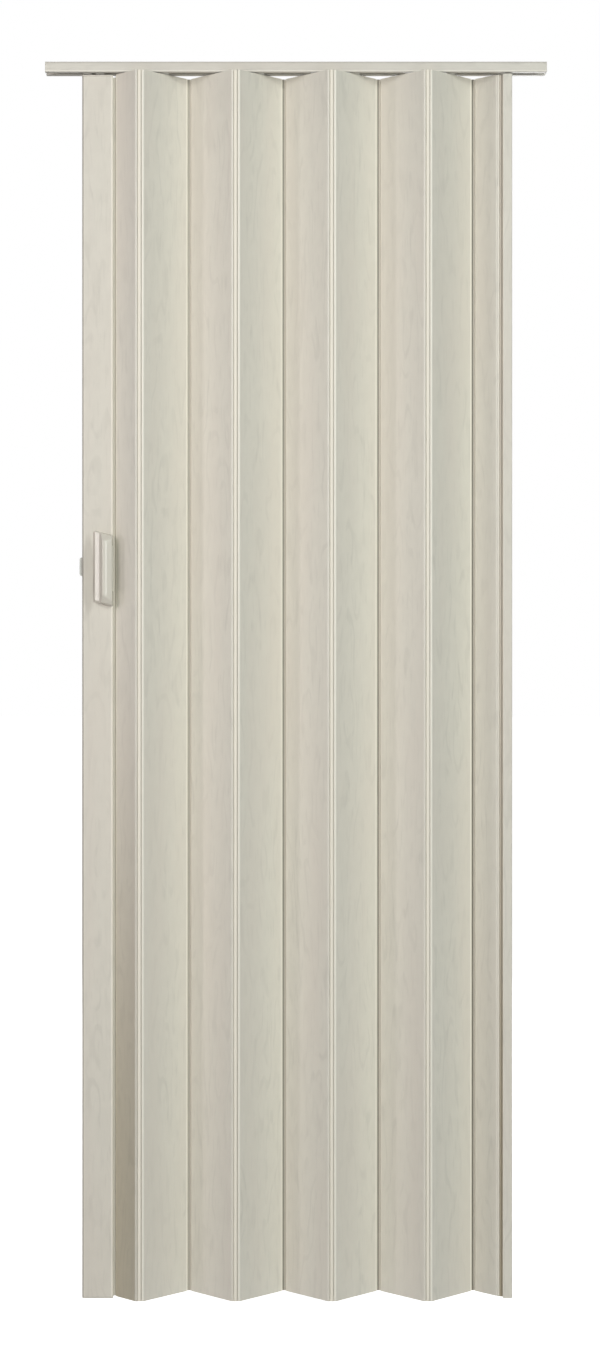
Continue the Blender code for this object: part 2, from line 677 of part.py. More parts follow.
def trolleys(nylon, steel, panel_axes, lead_axis):
    """A trolley on a swivel over every second panel, and two that stay square over the lead post."""
    carriage = carriage_mesh(nylon)
    wheels = wheel_pair_mesh()
    pin = pin_mesh()
    hanger = hanger_mesh()
    to_track = -LEAF_MIDDLE
    spots = []
    for number, axis in sorted(panel_axes.items()):
        middle = (-PANEL_PIVOTS / 2, -PIVOT_OFFSET, to_track)
        placed(f"panel_hanger_{number}", hanger, nylon, axis, middle)
        spots.append(axis_empty(f"trolley_{len(spots) + 1}_swivel", axis, middle, -FOLD_SHOWN))
    for side in (-1, 1):
        x = LEAD_CHAMBER_X + side * LEAD_TROLLEY_SPACING / 2
        spots.append(axis_empty(f"trolley_{len(spots) + 1}_seat", lead_axis, (x, 0, to_track)))
    for number, spot in enumerate(spots, 1):
        placed(f"trolley_{number}", carriage, nylon, spot)
        placed(f"trolley_pin_{number}", pin, steel, spot)
        placed(f"wheel_pair_{number}", wheels, nylon, spot, (0, 0, AXLE_Z))


# Handle and latch


def handle_x():
    return -LEAD_REVEAL + HANDLE_OVERHANG - HANDLE_WIDTH / 2


def turn_x():
    return -LEAD_REVEAL - LEAD_WIDTH + TURN_AXIS_INSET


def screw_heights():
    return [-HANDLE_DROP + side * SCREW_SPACING / 2 for side in (-1, 1)]


def grip_mesh():
    """The handle's outer form towards -Y: a sloping flange, and beside it a grip with its ends bevelled."""
    half = HANDLE_WIDTH / 2
    wall = -half + FLANGE_WIDTH
    crest = wall + GRIP_WALL_RUN
    plan = [
        (half, 0),
        (-half, 0),
        (-half, -FLANGE_EDGE),
        (wall, -FLANGE_DEPTH),
        (crest, -HANDLE_DEPTH),
        (crest + GRIP_CREST, -HANDLE_DEPTH + GRIP_CREST_FALL),
        (half, -HANDLE_DEPTH + GRIP_FALL),
    ]
    tall = HANDLE_SIDE + HANDLE_SLANT
    mesh = prism("handle", plan[::-1], -tall, tall)
    bm = bmesh.new()
    bm.from_mesh(mesh)
    bpy.data.meshes.remove(mesh)
    for side in (1, -1):
        left = Vector((-half, 0, side * (HANDLE_SIDE + side * HANDLE_SLANT) / 2))
        right = Vector((half, 0, side * (HANDLE_SIDE - side * HANDLE_SLANT) / 2))
        to_shoulder = Vector((0, -HANDLE_END_DEPTH, -side * HANDLE_END_DRAFT))
        to_front = Vector((0, HANDLE_END_DEPTH - HANDLE_DEPTH, -side * HANDLE_END_BEVEL))
        for corner, rise in ((left, to_shoulder), (left + to_shoulder, to_front)):
            facing = (right - left).cross(rise).normalized()
            facing *= math.copysign(1, facing.z * side)
            whole = bm.verts[:] + bm.edges[:] + bm.faces[:]
            bmesh.ops.bisect_plane(bm, geom=whole, plane_co=corner, plane_no=facing, clear_outer=True)
            bmesh.ops.holes_fill(bm, edges=[edge for edge in bm.edges if edge.is_boundary])
    bmesh.ops.dissolve_limit(bm, angle_limit=math.radians(1), verts=bm.verts, edges=bm.edges)
    off_base = [e for e in bm.edges if min(v.co.y for v in e.verts) < -FLANGE_EDGE / 2]
    bmesh.ops.bevel(bm, geom=off_base, offset=HANDLE_ROUND, segments=2, affect="EDGES", profile=0.5)
    return finished("handle", bm)


def finger_pocket(look):
    """What the handle's right side is hollowed by, so that fingers can hook behind its face."""
    half = HANDLE_WIDTH / 2
    outline = rounded(
        [
            (half - GRIP_DEPTH, -HANDLE_DEPTH + GRIP_FRONT),
            (half + GRIP_DEPTH, -HANDLE_DEPTH + GRIP_FRONT),
            (half + GRIP_DEPTH, -GRIP_BASE),
            (half - GRIP_DEPTH, -GRIP_BASE),
        ],
        [GRIP_ROUND, 0, 0, GRIP_ROUND],
    )
    return placed("finger_pocket", prism("finger_pocket", outline, -GRIP_HEIGHT / 2, GRIP_HEIGHT / 2), look)


def handles(vinyl, steel, axis):
    """Both handles and the two screws that join them through the post. The back one has the screws' seats."""
    off_face = LEAD_DEPTH / 2 + FIT_GAP
    shift = -LEAF_MIDDLE - HANDLE_DROP
    tools = {"front": [finger_pocket(vinyl)], "back": [finger_pocket(vinyl)]}
    for side in (-1, 1):
        spot = (-SCREW_SIDE, side * SCREW_SPACING / 2)
        hole = circle(spot, SCREW_RADIUS + FIT_GAP, PIN_STEPS)
        pilot = prism("pilot", hole, -SCREW_BITE, GRIP_BASE, along="Y")
        tools["front"].append(placed("pilot", pilot, vinyl))
        bore = prism("bore", hole, -HANDLE_DEPTH, GRIP_BASE, along="Y")
        tools["back"].append(placed("bore", bore, vinyl))
        sink = circle(spot, SCREW_HEAD_RADIUS + FIT_GAP)
        seat = prism("seat", sink, -2 * HANDLE_DEPTH, -SCREW_SEAT, along="Y")
        tools["back"].append(placed("seat", seat, vinyl))
    turned_over = {"front": (0, 0, 0), "back": (math.pi, 0, 0)}
    for name, sign in (("front", -1), ("back", 1)):
        blank = placed("blank", grip_mesh(), vinyl)
        mesh = settled(shaped(blank, "DIFFERENCE", *tools[name]))
        spot = (handle_x(), sign * off_face, shift)
        placed(f"handle_{name}", mesh, vinyl, axis, spot, turned_over[name])

    under_head = off_face + SCREW_SEAT + FIT_GAP
    tip = -off_face - SCREW_BITE + FIT_GAP
    profile = [
        (0, tip),
        (SCREW_RADIUS, tip + SCREW_RADIUS),
        (SCREW_RADIUS, under_head),
        (SCREW_HEAD_RADIUS, under_head),
        (SCREW_HEAD_TOP_RADIUS, under_head + SCREW_HEAD_THICK),
        (0, under_head + SCREW_HEAD_THICK),
    ]
    screw = turned("handle_screw", profile, along="Y", steps=PIN_STEPS)
    for name, z in zip(("bottom", "top"), screw_heights()):
        placed(f"handle_screw_{name}", screw, steel, axis, (handle_x() - SCREW_SIDE, 0, z - LEAF_MIDDLE))


def latch(plastic, axis):
    """The bolt, guided between the post's walls, and the thumb turn whose crank pin moves it."""
    left = -LEAD_REVEAL - LEAD_WIDTH
    middle = (0, 0, -LEAF_MIDDLE - LATCH_DROP)
    inner = left + POST_WALL + FIT_GAP
    guide = LEAD_DEPTH / 2 - POST_WALL - RUN_GAP
    body = rectangle(inner, inner + BOLT_BODY_LENGTH, -BOLT_BODY_HEIGHT / 2, BOLT_BODY_HEIGHT / 2)
    body = rounded(body, [BOLT_BODY_CORNER] * 4, 1)
    nose = rectangle(left - BOLT_REACH, inner + POST_WALL, -BOLT_NOSE_HEIGHT / 2, BOLT_NOSE_HEIGHT / 2)
    nose = rounded(nose, [BOLT_NOSE_CORNER, 0, 0, BOLT_NOSE_CORNER], 4)
    block = placed("bolt_block", prism("bolt_block", body, -guide, guide, along="Y"), plastic)
    tip = placed("tip", prism("tip", nose, -BOLT_NOSE_THICK / 2, BOLT_NOSE_THICK / 2, along="Y"), plastic)
    shaped(block, "UNION", tip)

    pin_x = turn_x() - CRANK_RADIUS * math.sin(CRANK_START)
    low = CRANK_RADIUS * math.cos(CRANK_START)
    reach = CRANK_PIN_RADIUS + RUN_GAP
    slot = arc((pin_x, CRANK_RADIUS), reach, 0, math.pi, 8)
    slot += arc((pin_x, low), reach, math.pi, 2 * math.pi, 8)
    slot_floor = guide - CRANK_PIN_LENGTH - RUN_GAP
    slot = placed("slot", prism("slot", slot, slot_floor, 2 * guide, along="Y"), plastic)
    shaped(block, "DIFFERENCE", slot)
    placed("latch_bolt", settled(block), plastic, axis, middle)

    face = LEAD_DEPTH / 2 + FIT_GAP
    end = LEAD_DEPTH / 2 - POST_WALL
    rim = face + TURN_ROSE_THICK
    profile = [
        (0, end),
        (TURN_SPINDLE_RADIUS, end),
        (TURN_SPINDLE_RADIUS, face),
        (TURN_ROSE_RADIUS, face),
        (TURN_ROSE_RADIUS, rim - FIT_GAP),
        (TURN_ROSE_RADIUS - 2 * FIT_GAP, rim),
        (0, rim),
    ]
    rose = placed("rose", turned("rose", profile, along="Y", steps=TURN_STEPS), plastic)
    tall = TURN_ROSE_RADIUS - FIT_GAP
    thick = TURN_GRIP_THICK / 2
    grip = rounded(rectangle(-thick, thick, -tall, tall), [TURN_GRIP_CORNER] * 4)
    grip = prism("grip", grip, rim - TURN_ROSE_THICK / 2, rim + TURN_GRIP_DEPTH, along="Y")
    grip = placed("grip", grip, plastic)
    spot = (-CRANK_RADIUS * math.sin(CRANK_START), low)
    crank = circle(spot, CRANK_PIN_RADIUS, PIN_STEPS)
    crank = prism("crank", crank, guide - CRANK_PIN_LENGTH, end + TURN_ROSE_THICK / 2, along="Y")
    turn = settled(shaped(rose, "UNION", grip, placed("crank", crank, plastic)))
    placed("latch_turn", turn, plastic, axis, (turn_x(), 0, middle[2]))


def build():
    for thing in list(bpy.data.objects):
        bpy.data.objects.remove(thing)
    vinyl = material("whitewashed_vinyl", linear(211, 206, 196), 0.45)
    soft_vinyl = material("soft_hinge_vinyl", linear(216, 210, 198), 0.40)
    post_vinyl = material("post_vinyl", linear(214, 209, 198), 0.45)
    track_vinyl = material("track_vinyl", linear(208, 205, 196), 0.50)
    handle_plastic = material("handle_plastic", linear(222, 217, 208), 0.35)
    latch_plastic = material("latch_plastic", linear(196, 198, 192), 0.40)
    nylon = material("nylon", linear(232, 230, 224), 0.40)
    steel = material("steel", linear(150, 150, 150), 0.35, 1.0)

    track(track_vinyl)
    jamb_post(post_vinyl, soft_vinyl, nylon)
    lead_axis, panel_axes = folding_chain(vinyl, soft_vinyl)
    lead_post(post_vinyl, soft_vinyl, lead_axis)
    spots = [LEAD_CHAMBER_X + side * LEAD_TROLLEY_SPACING / 2 for side in (-1, 1)]
    lead_cap("lead_top_cap", post_vinyl, lead_axis, 1, spots)
    lead_cap("lead_bottom_cap", post_vinyl, lead_axis, -1)
    trolleys(nylon, steel, panel_axes, lead_axis)
    handles(handle_plastic, steel, lead_axis)
    latch(latch_plastic, lead_axis)


build()
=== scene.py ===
"""The looks of a folding vinyl door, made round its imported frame.

Metres, +Z up, the origin at the centre of the track's top face. -Y is the photographed face.
"""

import json
import math

import bmesh
import bpy
from mathutils import Matrix, Vector

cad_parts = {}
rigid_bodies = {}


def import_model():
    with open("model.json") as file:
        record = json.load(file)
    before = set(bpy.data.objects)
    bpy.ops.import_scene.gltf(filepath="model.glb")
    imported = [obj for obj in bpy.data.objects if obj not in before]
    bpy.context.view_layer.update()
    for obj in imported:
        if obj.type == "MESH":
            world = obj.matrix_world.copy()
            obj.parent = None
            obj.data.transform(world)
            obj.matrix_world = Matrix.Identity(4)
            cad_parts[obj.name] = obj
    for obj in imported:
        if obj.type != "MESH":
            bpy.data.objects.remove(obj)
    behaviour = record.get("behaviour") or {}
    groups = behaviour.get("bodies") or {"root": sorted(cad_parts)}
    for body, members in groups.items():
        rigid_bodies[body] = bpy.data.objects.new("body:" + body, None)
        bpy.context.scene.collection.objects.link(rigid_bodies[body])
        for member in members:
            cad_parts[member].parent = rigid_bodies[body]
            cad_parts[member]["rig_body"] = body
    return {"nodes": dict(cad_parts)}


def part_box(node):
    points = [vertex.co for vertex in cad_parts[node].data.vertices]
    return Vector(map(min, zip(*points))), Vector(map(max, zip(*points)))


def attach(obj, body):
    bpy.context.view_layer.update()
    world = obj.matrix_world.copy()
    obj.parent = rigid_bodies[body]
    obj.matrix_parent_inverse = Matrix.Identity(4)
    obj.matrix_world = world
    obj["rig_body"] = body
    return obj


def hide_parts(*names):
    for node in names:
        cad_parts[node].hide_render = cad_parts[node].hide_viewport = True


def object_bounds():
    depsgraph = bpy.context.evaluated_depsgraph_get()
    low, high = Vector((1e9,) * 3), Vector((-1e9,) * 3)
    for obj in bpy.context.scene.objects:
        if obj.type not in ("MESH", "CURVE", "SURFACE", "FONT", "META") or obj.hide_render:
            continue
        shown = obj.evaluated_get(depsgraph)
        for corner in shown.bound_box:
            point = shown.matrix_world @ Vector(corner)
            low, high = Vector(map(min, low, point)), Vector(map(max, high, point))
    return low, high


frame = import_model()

NODES = frame["nodes"]
CAD_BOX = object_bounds()

# The nodes, by how their pieces are made
PANEL_NUMBERS = range(1, 8)
STRIP_NUMBERS = range(1, 5)
TROLLEY_NUMBERS = range(1, 7)
PANELS = [f"panel_{number}" for number in PANEL_NUMBERS]
HALF_PANELS = ["half_panel_left", "half_panel_right"]
LEANS_LEFT = PANELS[1::2] + HALF_PANELS
STRIPS = [f"{kind}_strip_{number}" for kind in ("ridge", "valley") for number in STRIP_NUMBERS]
POST_STRIPS = ["lead_hinge_strip", "jamb_hinge_strip"]
HANGERS = [f"panel_hanger_{number}" for number in PANEL_NUMBERS[::2]] + ["jamb_hanger"]

# A panel's lean at rest, and how much further its sockets' long lips reach than their short ones
FOLD = math.radians(44.0)
LIP_REACH = 0.00315

# Rounds on the edges of extrusions and mouldings
PANEL_FILLET = 0.0002
STRIP_FILLET = 0.00012
FILLET_STEPS = 3
POST_ROUND = 0.0002
TRACK_ROUND = 0.00018
CAP_ROUND = 0.0003
LATCH_ROUND = 0.0003
NYLON_ROUND = 0.00012
ROUND_STEPS = 2

# The pulls' meshing: the size of its cells, and how often and how far they are relaxed
PULL_GRAIN = 0.0005
PULL_ROUNDS = 8
PULL_RELAX = 0.5

# Meshes: angles that count as sharp and as flat, and how far upwards a face looks that counts as an end
SHARP = math.radians(38)
FLAT = math.radians(0.5)
END_FACES_UP = 0.5
WELD = 1e-6
TURN_STEPS = 40
FACE_WEIGHT = 100

# Wheels and their axles
AXLE_RADIUS = 0.0015
WHEEL_WIDTH = 0.005
WHEEL_HUB = 0.003
WHEEL_CROWN = 0.00045
GROOVE = (0.0035, 0.0046)
GROOVE_DEPTH = 0.0008

# Swivel pins
PIN_RADIUS = 0.0012
PIN_HEAD = 0.0012
PIN_FOOT = 0.0015
PIN_FOOT_RADIUS = 0.002
PIN_ROUND = PIN_FOOT / 6

# Screws: a threaded tip, a shank, and a head with a short rim, a dome and a cross recess that narrows down
SCREW_RADIUS = 0.0012
SCREW_TIP = 0.35 * SCREW_RADIUS
THREAD_LENGTH = 0.0075
THREAD_PITCH = 0.0009
THREAD_DEPTH = 0.00028
SCREW_HEAD = 0.002
HEAD_RIM = 0.25
DOME_ANGLES = [math.radians(15 * step) for step in range(6)]
RECESS_REACH = 0.0017
RECESS_WIDTH = 0.0007
RECESS_DEPTH = 0.0013
RECESS_FLOOR = (0.45, 0.6)

# Colours, in display levels
PANEL_COLOUR = (216, 213, 203)
STRIP_COLOUR = (216, 211, 199)
# The posts' colour is the panels' vinyl made darker: painted shade on their front faces
POST_COLOUR = (207, 203, 193)
TRACK_COLOUR = (208, 205, 196)
PULL_COLOUR = (207, 203, 192)
LATCH_COLOUR = (196, 198, 192)
NYLON_COLOUR = (232, 230, 224)
ZINC_DARK = (158, 160, 164)
ZINC_BRIGHT = (186, 186, 180)
# The colour of the painted shade in the strips' creases
CREASE_SHADE_COLOUR = (112, 107, 94)

# How light the pieces are beside their colours, by kind, and then one by one. The posts' tones and the
# panels'
# one by one are painted light and shade: the one vinyl made lighter or darker where a piece takes more or
# less light. The ridge strips' tone is a painted highlight.
PANEL_TONE = 0.985
STRIP_TONE = 1.08
LEAD_TONE = 1.03
JAMB_TONE = 1.05
PANEL_TONES = {"half_panel_left": 0.95, "panel_5": 1.02, "panel_7": 1.02, "half_panel_right": 0.97}
STRIP_TONES = {"ridge": 1.12, "jamb": 1.2}

# The printed grain: how far the print moves on from one panel to the next, then for each of its noises the
# waves a metre along each axis, between which levels it shows, and how strongly it is inked
PRINT_STEP = 2.37
RING_WAVES = (19.0, 4.0, 4.2)
RING_TURNS = 58.0
RING_LEVELS = (0.35, 0.95)
RING_INK = 0.48
BREAK_WAVES = (60.0, 30.0, 13.0)
BREAK_LEVELS = (0.40, 0.62)
FLECK_WAVES = (230.0, 90.0, 27.0)
FLECK_LEVELS = (0.56, 0.70)
FLECK_INK = 0.34
STREAK_WAVES = (260.0, 60.0, 2.2)
STREAK_INK = 0.18
PORE_WAVES = (1500.0, 300.0, 26.0)
PORE_LEVELS = (0.60, 0.74)
PORE_INK = 0.24
CLOUD_WAVES = (52.0, 30.0, 30.0)
CLOUD_LEVELS = (0.36, 0.64)
CLOUD_INK = 0.22
PALE_PRINT = 1.045
DARK_PRINT = 0.915

# The print's faint pink patches
BLUSH_WAVES = (14.0, 14.0, 1.8)
BLUSH_LEVELS = (0.35, 0.75)
BLUSH = (1.02, 0.985, 0.985)
BLUSH_STRENGTH = 0.6

# The slow waves of a thin wall, and the grain pressed into it
WALL_WAVES = (10.0, 10.0, 2.6)
WALL_DEPTH = 0.0012
GRAIN_DEPTH = 0.00004
GRAIN_STRENGTH = 0.7
STREAK_RELIEF = 0.6
RING_RELIEF = 0.5
FLECK_RELIEF = 0.4

# Plain extruded and moulded plastic, and zinc: waves a metre, how deep their texture is, and how mottled
# they are
DIE_LINE_WAVES = (2600.0, 2600.0, 1.4)
STRIP_CLOUD_WAVES = (30.0, 30.0, 5.0)
STRIP_MOTTLE = 0.03
MOULD_WAVES = (900.0, 900.0, 900.0)
MOULD_CLOUD_WAVES = (25.0, 25.0, 25.0)
MOULD_MOTTLE = 0.02
ZINC_WAVES = (500.0, 500.0, 500.0)
FINE_DEPTH = 0.00002

# Roughness, and what the parts of a finish add to it
PRINT_ROUGH = 0.40
STREAK_ROUGH = 0.10
PORE_ROUGH = 0.12
STRIP_ROUGH = 0.34
STRIP_CLOUD_ROUGH = 0.08
PULL_ROUGH = 0.21
LATCH_ROUGH = 0.35
NYLON_ROUGH = 0.38
MOULD_ROUGH = 0.08
ZINC_ROUGH = 0.28
ZINC_CLOUD_ROUGH = 0.16

# Bands of painted highlight and painted shade along the posts' edges, the track and the ridge strips'
# grooves:
# where across a piece the tone starts to change, where it has changed, and by how much
LEAD_LIGHT_AND_SHADE = [(-0.0196, -0.0206, 1.06), (-0.0215, -0.0229, 0.62), (0.0214, 0.0230, 1.22)]
JAMB_LIGHT_AND_SHADE = [(-0.0060, -0.0070, 1.14), (0.0062, 0.0072, 0.88)]
TRACK_LIGHT_AND_SHADE = [(0.0036, 0.0024, 0.86), (0.0130, 0.0140, 1.18), (0.0156, 0.0164, 0.72)]
RIDGE_GROOVE_SHADE = [(0.0008, 0.0018, 0.83)]

# A panel is paler towards its rear edge: painted light for the light the next panel throws into the fold. Its
# edges and its sockets' short lips carry painted highlights: how far in from each they start and are full,
# how light they make them, and how strong they are. The front-edge values add to it on the front edge of a
# panel that leans right or left, and most panels that lean left have faint lip highlights.
REAR_BOUNCE_TINT = (1.09, 1.085, 1.075)
EDGE_HIGHLIGHT_SPAN = (0.0042, 0.0012)
EDGE_HIGHLIGHT_TONE = 1.22
EDGE_HIGHLIGHT_STRENGTH = 0.41
FRONT_HIGHLIGHT_RIGHT = 0.55
FRONT_HIGHLIGHT_LEFT = -0.2
LIP_HIGHLIGHT_SPAN = (0.0040, 0.0024)
LIP_HIGHLIGHT_TONE = 1.36
LIP_HIGHLIGHT_STRENGTH = 0.95
FAINT_LIP_HIGHLIGHT = 0.3

# How much smoother the vinyl is under the painted highlights, and how much of the painted foot shade the
# front-edge highlight lifts
HIGHLIGHT_SHINE = 0.12
HIGHLIGHT_SHADE_LIFT = 0.8

# Painted shade in a strip's crease: its middle, how far out from there it is full and where it ends, then how
# strong it is on a strip, and how much of it is even and how much comes in clouds
CREASES = {f"valley_strip_{number}": (-0.0006, 0.0006, 0.0019) for number in STRIP_NUMBERS}
CREASES["jamb_hinge_strip"] = (0.0008, 0.0018, 0.0030)
CREASE_SHADE_STRENGTH = {"valley_strip_1": 0.55, "valley_strip_2": 0.8, "valley_strip_3": 0.8, "jamb_hinge_strip": 0.45}
EVEN_CREASE_SHADE = 0.85
CLOUDY_CREASE_SHADE = 0.25

# Painted shade towards the foot: how strong it is, how far below a piece's middle it starts and is full, and
# its share in red, green and blue
FOOT_SHADE = {"half_panel_left": 0.32, "jamb_hinge_strip": 0.34, "half_panel_right": 0.02}
FOOT_SHADE_DROP = (-0.2, 0.9)
FOOT_SHADE_SHARES = (1.0, 1.1, 1.35)

# The pull's painted shadow on the lead post beside it: its middle and half its size across and along the lead
# post, where its soft edge starts and ends, and its tint
PULL_SHADOW_MIDDLE = (-0.0145, 0.181)
PULL_SHADOW_SIZE = (0.0105, 0.062)
PULL_SHADOW_EDGE = (0.55, 1.35)
PULL_SHADOW_TINT = (0.80, 0.792, 0.784)

# The photograph's view: level, at mid height, from about 4 m
EYE = (0.0065, -4.036, -0.955)
LENS = 66.3
SENSOR = 36.0
VIEW_SHIFT = -0.017

# Lamps' colours, and how much of the white sky lights the object
WARM = (1.0, 0.93, 0.925)
COOL = (0.955, 1.0, 0.96)
WHITE = (1.0, 1.0, 1.0)
AMBIENT = 0.07

# The floor: how far it lies below the door, between which distances it turns all white, and how much it glows
# where it doesn't
FLOOR_SIZE = 40
FLOOR_DROP = 0.12
FLOOR_NEAR = 0.4
FLOOR_FAR = 1.1
FLOOR_GREY = 0.80
FLOOR_GLOW = 0.75


def body_of(node):
    return NODES[node]["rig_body"]


def centre_of(node):
    low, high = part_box(node)
    return (low + high) / 2


# Shader trees


class Value:
    """A socket of a shader tree. Python's arithmetic on it adds Math nodes."""

    def __init__(self, shader, socket):
        self.shader = shader
        self.socket = socket

    def _math(self, operation, *values):
        return self.shader.node("ShaderNodeMath", *values, settings={"operation": operation})

    def __add__(self, other):
        return self._math("ADD", self, other)

    __radd__ = __add__

    def __sub__(self, other):
        return self._math("SUBTRACT", self, other)

    def __rsub__(self, other):
        return self._math("SUBTRACT", other, self)

    def __mul__(self, other):
        return self._math("MULTIPLY", self, other)

    __rmul__ = __mul__

    def __neg__(self):
        return self._math("MULTIPLY", self, -1.0)

    def __abs__(self):
        return self._math("ABSOLUTE", self)

    def __gt__(self, other):
        return self._math("GREATER_THAN", self, other)

    def least(self, other):
        return self._math("MINIMUM", self, other)

    def most(self, other):
        return self._math("MAXIMUM", self, other)

    def sine(self):
        return self._math("SINE", self)

    def between(self, low, high):
        """0 below low, 1 above high, and a smooth rise between them."""
        smooth = {"interpolation_type": "SMOOTHSTEP"}
        return self.shader.node("ShaderNodeMapRange", self, low, high, settings=smooth)


class Shader:
    """A shader tree under construction."""

    def __init__(self, tree):
        self.tree = tree
        tree.nodes.clear()

    def node(self, kind, *values, settings=None, output=None, **named):
        """Adds a node: its settings first, then the values or links of its sockets, in order or by name.

        It gives the output that is named, or else the first.
        """
        made = self.tree.nodes.new(kind)
        for name, setting in (settings or {}).items():
            setattr(made, name, setting)
        pairs = list(zip([socket for socket in made.inputs if socket.enabled], values))
        pairs += [(made.inputs[name.replace("_", " ")], value) for name, value in named.items()]
        for socket, value in pairs:
            if isinstance(value, Value):
                self.tree.links.new(value.socket, socket)
            else:
                socket.default_value = value
        given = [socket for socket in made.outputs if socket.enabled]
        return Value(self, made.outputs[output] if output else given[0])

    def ends_in(self, kind, surface):
        made = self.tree.nodes.new(kind)
        self.tree.links.new(surface.socket, made.inputs["Surface"])

    def light_path(self, ray):
        return self.node("ShaderNodeLightPath", output=ray)

    def place(self, centre=(0, 0, 0), turn=(0, 0, 0)):
        """Object coordinates about a centre, turned so that a pattern follows a leaning piece."""
        spot = self.node("ShaderNodeTexCoord", output="Object")
        named = {"Vector": spot, "Location": centre, "Rotation": turn}
        return self.node("ShaderNodeMapping", settings={"vector_type": "TEXTURE"}, **named)

    def vector(self, operation, *values):
        return self.node("ShaderNodeVectorMath", *values, settings={"operation": operation})

    def part(self, vector, axis):
        return self.node("ShaderNodeSeparateXYZ", vector, output=axis)

    def noise(self, vector, waves, detail=2.0, roughness=0.5):
        """Cloudy noise from 0 to 1, with so many waves a metre along each axis."""
        named = {"Vector": self.vector("MULTIPLY", vector, waves), "Scale": 1.0}
        return self.node("ShaderNodeTexNoise", output="Fac", Detail=detail, Roughness=roughness, **named)

    def mix(self, amount, first, second, blend="MIX"):
        """Two colours, mixed or blended by an amount."""
        settings = {"data_type": "RGBA", "blend_type": blend}
        return self.node("ShaderNodeMix", amount, first, second, settings=settings)

    def tinted(self, amount, colour, tint):
        """A colour, multiplied by a tint as far as the amount says."""
        return self.mix(amount, colour, (*tint, 1.0), "MULTIPLY")

    def bump(self, height, distance, strength=1.0, **under):
        return self.node("ShaderNodeBump", Height=height, Distance=distance, Strength=strength, **under)


def linear(levels):
    """A colour from its display levels of 0 to 255."""
    shares = [level / 255 for level in levels]
    return [s / 12.92 if s <= 0.04045 else ((s + 0.055) / 1.055) ** 2.4 for s in shares] + [1.0]


def toned(colour, by):
    return [channel * by for channel in colour[:3]] + [1.0]


def new_material(name):
    made = bpy.data.materials.new(name)
    made.use_nodes = True
    return made, Shader(made.node_tree)


def finished(made, shader, colour, rough, normal, **fixed):
    named = {"Base_Color": colour, "Roughness": rough, "Normal": normal, **fixed}
    shader.ends_in("ShaderNodeOutputMaterial", shader.node("ShaderNodeBsdfPrincipled", **named))
    return made


# Camera, light and floor


def camera():
    data = bpy.data.cameras.new("camera")
    data.lens = LENS
    data.sensor_width = SENSOR
    data.shift_y = VIEW_SHIFT
    eye = bpy.data.objects.new("camera", data)
    eye.location = EYE
    eye.rotation_euler = (math.radians(90), 0, 0)
    bpy.context.scene.collection.objects.link(eye)
    bpy.context.scene.camera = eye


def softbox(name, aim, place, width, height, watts, colour):
    data = bpy.data.lights.new(name, "AREA")
    data.color = colour
    data.shape = "RECTANGLE"
    data.size = width
    data.size_y = height
    data.energy = watts
    lamp = bpy.data.objects.new(name, data)
    lamp.location = place
    lamp.rotation_euler = (Vector(aim) - Vector(place)).to_track_quat("-Z", "Y").to_euler()
    bpy.context.scene.collection.objects.link(lamp)


def lamps():
    """A warm softbox and a narrow strip at the left, a cool softbox at the right, and one behind."""
    door = (CAD_BOX[0] + CAD_BOX[1]) / 2
    handle = centre_of("handle_front")
    softbox("left_softbox", door, place=(-1.5, -2.2, 0.0), width=1.0, height=1.6, watts=26.1, colour=WARM)
    softbox("side_strip", handle, place=(-2.3, -1.05, -0.74), width=0.16, height=0.9, watts=7.4, colour=WARM)
    softbox("right_softbox", door, place=(2.0, -4.2, 0.5), width=1.4, height=2.4, watts=120, colour=COOL)
    softbox("back_softbox", door, place=(0.9, 4.2, 0.2), width=1.6, height=2.4, watts=150, colour=WHITE)


def sky():
    """Dim to the object, and white to the camera and in reflections."""
    world = bpy.data.worlds.new("studio")
    bpy.context.scene.world = world
    world.use_nodes = True
    shader = Shader(world.node_tree)
    seen = shader.light_path("Is Camera Ray") + shader.light_path("Is Glossy Ray")
    seen = seen + shader.light_path("Is Transmission Ray")
    strength = AMBIENT + seen.least(1.0) * (1.0 - AMBIENT)
    plain = shader.node("ShaderNodeBackground", Color=(*WHITE, 1.0), Strength=strength)
    shader.ends_in("ShaderNodeOutputWorld", plain)


def floor_material():
    """Pale and matt, white to the camera where nothing shades it, and clear from below."""
    made, shader = new_material("pale_floor")
    matt = shader.node("ShaderNodeBsdfDiffuse", Color=(FLOOR_GREY, FLOOR_GREY, FLOOR_GREY, 1.0))
    away = shader.vector("LENGTH", shader.node("ShaderNodeTexCoord", output="Object"))
    seen = shader.light_path("Is Camera Ray")
    lift = (away.between(FLOOR_NEAR, FLOOR_FAR) * (1.0 - FLOOR_GLOW) + FLOOR_GLOW) * seen
    glow = shader.node("ShaderNodeEmission", Color=(*WHITE, 1.0), Strength=lift)
    lit = shader.node("ShaderNodeAddShader", matt, glow)
    clear = shader.node("ShaderNodeBsdfTransparent")
    below = shader.node("ShaderNodeNewGeometry", output="Backfacing")
    shader.ends_in("ShaderNodeOutputMaterial", shader.node("ShaderNodeMixShader", below, lit, clear))
    return made


def floor():
    bm = bmesh.new()
    bmesh.ops.create_grid(bm, x_segments=2, y_segments=2, size=FLOOR_SIZE)
    mesh = mesh_of(bm, "floor")
    mesh.materials.append(floor_material())
    plate = bpy.data.objects.new("floor", mesh)
    plate.location = (0, 0, CAD_BOX[0].z - FLOOR_DROP)
    bpy.context.scene.collection.objects.link(plate)


def studio():
    lamps()
    sky()
    floor()
    bpy.context.scene.view_settings.view_transform = "Standard"


# Finishes


def mottled(shader, clouds, tone, by):
    """A tone a little darker and lighter in clouds."""
    return shader.mix(clouds, toned(tone, 1.0 - by), toned(tone, 1.0 + by))


